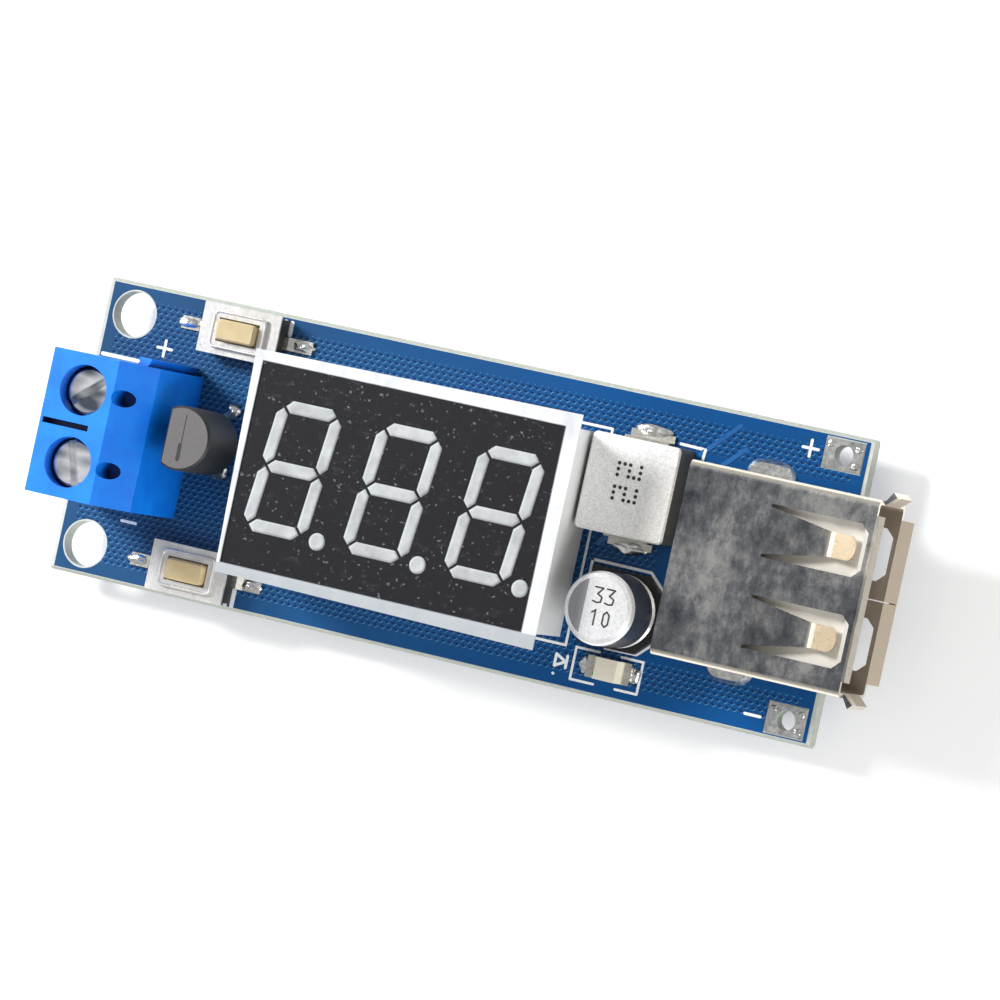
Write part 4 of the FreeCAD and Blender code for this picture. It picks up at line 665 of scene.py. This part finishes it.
def solder_blob(name, x, y, size, seed, z=MASK_THICK, material=MATERIALS["solder"]):
    """A frozen puddle with a steep foot and an uneven crown. size is its half length, half width, height."""
    half_x, half_y, height = size
    local = random.Random(seed)
    waves = [(local.uniform(0.02, 0.07), local.randint(2, 5), local.uniform(0, 6.28)) for _ in range(3)]
    bm = bmesh.new()
    rings, steps = 9, 30
    rows = []
    for ring in range(1, rings + 1):
        t = ring / rings
        row = []
        for step in range(steps):
            a = 2 * math.pi * step / steps
            wobble = 1 + sum(s * math.sin(n * a + p) for s, n, p in waves)
            rise = height * math.sqrt(max(0.0, 1 - t ** 2.2))
            rise += height * 0.06 * math.sin(3 * a + seed) * t * (1 - t) * 4
            row.append(bm.verts.new(at(x + half_x * t * wobble * math.cos(a),
                                       y + half_y * t * wobble * math.sin(a), z + max(rise, 0.0))))
        rows.append(row)
    centre = bm.verts.new(at(x, y, z + height))
    for step in range(steps):
        nxt = (step + 1) % steps
        bm.faces.new((centre, rows[0][step], rows[0][nxt]))
        for inner, outer in zip(rows, rows[1:]):
            bm.faces.new((inner[step], outer[step], outer[nxt], inner[nxt]))
    bm.faces.new(rows[-1][::-1])
    add_mesh(name, bm, material, smooth=True)


# Solder mask, open round the mounting holes and the output pads
MOUNT_X, MOUNT_Y, MOUNT_RING = 2.25, (18.65, 2.25), 1.72
PAD_OPEN_X, PAD_OPEN_Y = 1.42, 1.1
pads = [middle("output_pad_positive"), middle("output_pad_negative")]
openings = [circle(MOUNT_X, y, MOUNT_RING) for y in MOUNT_Y]
for pad in pads:
    openings.append(rectangle(pad.x - PAD_OPEN_X, pad.y - PAD_OPEN_Y, pad.x + PAD_OPEN_X, pad.y + PAD_OPEN_Y))
outline = rectangle(RIM, RIM, BOARD_LENGTH - RIM, BOARD_WIDTH - RIM)
sheet_from_loops("solder_mask", [outline] + openings, 0.0, MASK_THICK, MASK)

# Tracks that show between the parts
strokes("tracks", [
    [(45.28, 17.36), (47.77, 19.9)], [(46.96, 16.94), (48.49, 18.45)],
    [(13.2, 14.8), (15.0, 16.4)], [(13.2, 13.9), (15.2, 15.7)],
    [(39.6, 10.2), (40.4, 11.0), (40.4, 12.6)], [(45.4, 9.0), (46.6, 8.2), (46.6, 4.6)],
], width=0.32, material=TRACK)

# Legend
FRAME_GAP_X, FRAME_GAP_Y = 0.55, 0.45
ticks = [[(x, start), (x, end)] for start, end in ((19.5, 20.35), (0.35, 1.5)) for x in (13.7, 14.2)]
strokes("legend_switches", ticks, width=0.3)
strokes("legend_terminal", [[(0.5, 15.5), (3.3, 15.5)]], width=0.28)
low, high = board_box("display_housing")
left, right = low.x - FRAME_GAP_X, high.x + FRAME_GAP_X
near, far = low.y - FRAME_GAP_Y, high.y + FRAME_GAP_Y
window = [(left, near), (left, far), (right, far), (right, near), (left, near)]
strokes("legend_display", [window], width=0.18)
strokes("legend_inductor", [[(43.9, 17.9), (45.7, 17.85), (45.65, 17.2)]], width=0.2)
strokes("legend_capacitor", [
    [(39.5, 9.06), (43.8, 9.03), (44.9, 8.0)], [(41.7, 3.4), (44.0, 3.44), (44.9, 4.3)],
    [(39.5, 9.06), (39.5, 7.6)],
], width=0.2)
strokes("legend_indicator", [
    [(41.4, 3.05), (39.7, 3.05), (39.7, 0.85), (41.4, 0.85)],
    [(43.0, 3.05), (44.6, 3.05), (44.6, 0.85), (43.0, 0.85)],
], width=0.17)

# Plus and minus signs at both ends, and a diode sign with a dot by the indicator
ARM = 0.55
PLUS = [[(0, -ARM), (0, ARM)], [(-ARM, 0), (ARM, 0)]]
MINUS = [[(-ARM, 0), (ARM, 0)]]
DIODE = [[(-0.5, 0.4), (-0.5, -0.4), (0.25, 0), (-0.5, 0.4)], [(0.32, 0.4), (0.32, -0.4)]]
DOT = [[(38.42, 0.96), (38.44, 0.96)]]
signs = shifted(PLUS, 52.9, 19.45) + shifted(MINUS, 52.9, 1.3) + shifted(PLUS, 5.1, 16.75)
signs += shifted(MINUS, 5.2, 4.4) + shifted(DIODE, 38.9, 1.9) + DOT
strokes("legend_signs", signs, width=0.2)

# Solder at the surface parts and on the output pads
SWITCH_SOLDER_X = {"left": 6.6, "right": 15.4}
for number, y in enumerate((13.5, 9.2)):
    solder_blob(f"reference_solder_{number + 1}", 11.3, y, (0.62, 0.55, 0.45), seed=20 + number)
for side in SIDES:
    y = middle(f"{side}_switch_cover").y
    for end, x in SWITCH_SOLDER_X.items():
        solder_blob(f"{side}_switch_solder_{end}", x, y, (0.95, 0.42, 0.3), seed=int(x * 7 + y))
for number, y in enumerate((18.35, 10.35)):
    solder_blob(f"inductor_solder_{number + 1}", 41.9, y, (1.35, 0.5, 0.24), seed=40 + number)
for number, x in enumerate((40.6, 44.2)):
    solder_blob(f"indicator_solder_{number + 1}", x, 2.02, (0.45, 0.6, 0.32), seed=50 + number)
PAD_TIN_SPOTS = ((-1.0, 0.62), (0.95, -0.6), (1.0, 0.55))
for number, pad in enumerate(pads):
    for spot, (dx, dy) in enumerate(PAD_TIN_SPOTS):
        solder_blob(f"pad_tin_{number + 1}_{spot + 1}", pad.x + dx, pad.y + dy, (0.28, 0.24, 0.09),
                    seed=60 + number * 4 + spot, z=0.1)


# Rolled rim round each plunger
RIM_GAP, RIM_CORNER, RIM_RADIUS = 0.2, 0.35, 0.1


def rim(name, centre, half_x, half_y, z):
    """A rounded bead that runs round a rectangle with round corners."""
    corner_steps, bead_steps = 6, 8
    path = []
    for cx, cy, start in ((1, 1, 0), (-1, 1, 90), (-1, -1, 180), (1, -1, 270)):
        for step in range(corner_steps + 1):
            a = math.radians(start + 90 * step / corner_steps)
            path.append((centre[0] + cx * (half_x - RIM_CORNER) + RIM_CORNER * math.cos(a),
                         centre[1] + cy * (half_y - RIM_CORNER) + RIM_CORNER * math.sin(a)))
    bm = bmesh.new()
    rows = []
    for i, (x, y) in enumerate(path):
        before, after = path[i - 1], path[(i + 1) % len(path)]
        length = math.hypot(after[0] - before[0], after[1] - before[1])
        nx, ny = (after[1] - before[1]) / length, -(after[0] - before[0]) / length
        row = []
        for step in range(bead_steps):
            a = 2 * math.pi * step / bead_steps
            reach = RIM_RADIUS * math.cos(a)
            row.append(bm.verts.new(at(x + nx * reach, y + ny * reach, z + RIM_RADIUS * 0.8 * math.sin(a))))
        rows.append(row)
    for i, row in enumerate(rows):
        following = rows[(i + 1) % len(rows)]
        for step in range(bead_steps):
            nxt = (step + 1) % bead_steps
            bm.faces.new((row[step], row[nxt], following[nxt], following[step]))
    add_mesh(name, bm, MATERIALS["switch_cover_steel"], smooth=True)


for side in SIDES:
    low, high = board_box(f"{side}_switch_plunger")
    cover_top = board_box(f"{side}_switch_cover")[1].z
    rim(f"{side}_switch_rim", ((low.x + high.x) / 2, (low.y + high.y) / 2),
        (high.x - low.x) / 2 + RIM_GAP, (high.y - low.y) / 2 + RIM_GAP, cover_top)

# Each snap dome is replaced by a copy with its own mesh, riding on the board
for side in SIDES:
    node = f"{side}_switch_dome"
    low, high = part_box(node)
    soft = bpy.data.objects.new(f"{side}_soft_dome", frame["nodes"][node].data.copy())
    bpy.context.scene.collection.objects.link(soft)
    soft.matrix_world = frame["nodes"][node].matrix_world.copy()
    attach(soft, "board")
    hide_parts(node)
    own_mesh(soft)


# Round ends of the two upper spring fingers
def finger_end(name, lane):
    """A half-round end on a finger, at the slope, width and thickness of its last edge."""
    under_tip, steps = 6.1, 14
    shell = frame["nodes"]["socket_shell"]
    spots = [shell.matrix_world @ v.co for v in shell.data.vertices]
    start, end = at(FINGER_TIP_X, lane[0], under_tip), at(FINGER_TIP_X, lane[1])
    edge = [p for p in spots if abs(p.x - start.x) < 0.1 * MM and p.z > start.z and start.y < p.y < end.y]
    y0, y1 = min(p.y for p in edge), max(p.y for p in edge)
    z0, z1 = min(p.z for p in edge), max(p.z for p in edge)
    ring = []
    for step in range(steps + 1):
        a = -math.pi / 2 + math.pi * step / steps
        ring.append((FINGER_REACH * MM * math.cos(a), (y1 - y0) / 2 * math.sin(a)))
    bm = bmesh.new()
    low, high = ([bm.verts.new((start.x + u, (y0 + y1) / 2 + v, z + FINGER_SLOPE * u)) for u, v in ring]
                 for z in (z0, z1))
    close_prism(bm, low, high)
    add_mesh(name, bm, MATERIALS["shell_nickel"])


for side in SIDES:
    finger_end(f"{side}_finger_end", FINGER_LANES[side])

# Printed numbers: a dotted 22 on the inductor, and 33 over 10 on the capacitor
TWO = ["###", "..#", "###", "#..", "###"]
THREE = [[(0, 1.5), (0.85, 1.5), (0.35, 0.85), (0.85, 0.6), (0.8, 0.1), (0.4, 0), (0, 0.1)]]
ONE = [[(0.15, 1.2), (0.5, 1.5), (0.5, 0)]]
NOUGHT = [[(0.15, 0.3), (0.15, 1.2), (0.45, 1.5), (0.75, 1.2), (0.75, 0.3), (0.45, 0), (0.15, 0.3)]]
NUMERAL_SIZE = 0.68
NUMERAL_X, NUMERAL_Y = (42.1, 42.95), (6.45, 4.95)
inductor_top = board_box("inductor_body")[1].z
two_twos = [f"{row}.{row}" for row in TWO]
dotted("inductor_number", two_twos, 41.8, 14.6, pitch=0.4, size=0.27, z=inductor_top, along=math.pi / 2)
digits = []
for y, pair in zip(NUMERAL_Y, ((THREE, THREE), (ONE, NOUGHT))):
    for x, digit in zip(NUMERAL_X, pair):
        digits += shifted(digit, x, y, NUMERAL_SIZE)
can_top = board_box("capacitor_can")[1].z
strokes("capacitor_number", digits, width=0.11, z=can_top, material=PRINT, thick=PRINT_THICK)

# Parting line and gate slot on the three-lead part
reference_top = board_box("reference_body")[1].z
strokes("reference_line", [[(11.5, 12.7), (11.5, 9.5)]], width=0.06, z=reference_top, material=PRINT,
        thick=0.01)
strokes("reference_slot", [[(11.45, 10.6), (11.45, 9.6)]], width=0.26, z=reference_top, material=PRINT,
        thick=PRINT_THICK)

# The indicator's polarity dot
solder_blob("indicator_dot", 41.57, 1.56, (0.2, 0.2, 0.05), seed=71, z=0.62, material=GREEN)

# Floor and backdrop: the floor glows only where it is seen, so it is white and still takes the shadow
FLOOR_SIZE, FLOOR_GLOW = 3.0, 0.15
FLOOR = Nodes("floor")
path = FLOOR.add("ShaderNodeLightPath")
seen = FLOOR.math("MAXIMUM", path.outputs["Is Camera Ray"],
                  FLOOR.math("MAXIMUM", path.outputs["Is Glossy Ray"], path.outputs["Is Transmission Ray"]))
grain = FLOOR.noise(0.05, 3.0)
shade = FLOOR.ramp(grain, [(0.3, (0.90, 0.90, 0.90)), (0.7, (0.93, 0.93, 0.93))])
FLOOR.finish(shade, 0.9)
FLOOR.bsdf.inputs["Emission Color"].default_value = (1, 1, 1, 1)
FLOOR.link(FLOOR.math("MULTIPLY", seen, FLOOR_GLOW), FLOOR.bsdf.inputs["Emission Strength"])
bm = bmesh.new()
bmesh.ops.create_grid(bm, x_segments=4, y_segments=4, size=FLOOR_SIZE)
floor_mesh = bpy.data.meshes.new("floor")
bm.to_mesh(floor_mesh)
bm.free()
floor = bpy.data.objects.new("floor", floor_mesh)
bpy.context.scene.collection.objects.link(floor)
floor_mesh.materials.append(FLOOR.mat)

SKY_STRENGTH = 0.46
world = bpy.data.worlds.new("studio")
bpy.context.scene.world = world
world.use_nodes = True
background = world.node_tree.nodes["Background"]
background.inputs["Color"].default_value = (1, 1, 1, 1)
background.inputs["Strength"].default_value = SKY_STRENGTH


# Lights and camera
def point_at(thing, place, target, roll=0.0):
    """Link a lamp or camera at a place, looking at a target, both in metres, with a roll in degrees."""
    bpy.context.scene.collection.objects.link(thing)
    turn = (Vector(target) - Vector(place)).to_track_quat("-Z", "Y").to_matrix().to_4x4()
    thing.matrix_world = Matrix.Translation(place) @ turn @ Matrix.Rotation(math.radians(roll), 4, "Z")


def area_light(name, place, size, watts):
    """A round lamp that looks at the module's middle."""
    data = bpy.data.lights.new(name, "AREA")
    data.shape = "DISK"
    data.size = size
    data.energy = watts
    point_at(bpy.data.objects.new(name, data), place, (0, 0, 0.004))


area_light("key", (-0.36, 0.17, 0.31), size=0.15, watts=3.4)
area_light("fill", (0.33, -0.24, 0.25), size=0.3, watts=1.4)

# The camera's place, the point on the board that it looks at and its roll are fitted to the photograph
CAMERA_AT = Vector((134.885, 7.39, 343.345)) * MM
CAMERA_AIM = Vector((1.38, 1.12, BOARD_TOP)) * MM
CAMERA_ROLL = -80.23
lens = bpy.data.cameras.new("camera")
lens.lens = 193.9
lens.sensor_width = 36.0
lens.clip_start = 0.01
lens.clip_end = 20.0
camera = bpy.data.objects.new("camera", lens)
point_at(camera, CAMERA_AT, CAMERA_AIM, CAMERA_ROLL)
bpy.context.scene.camera = camera
bpy.context.scene.view_settings.view_transform = "Standard"
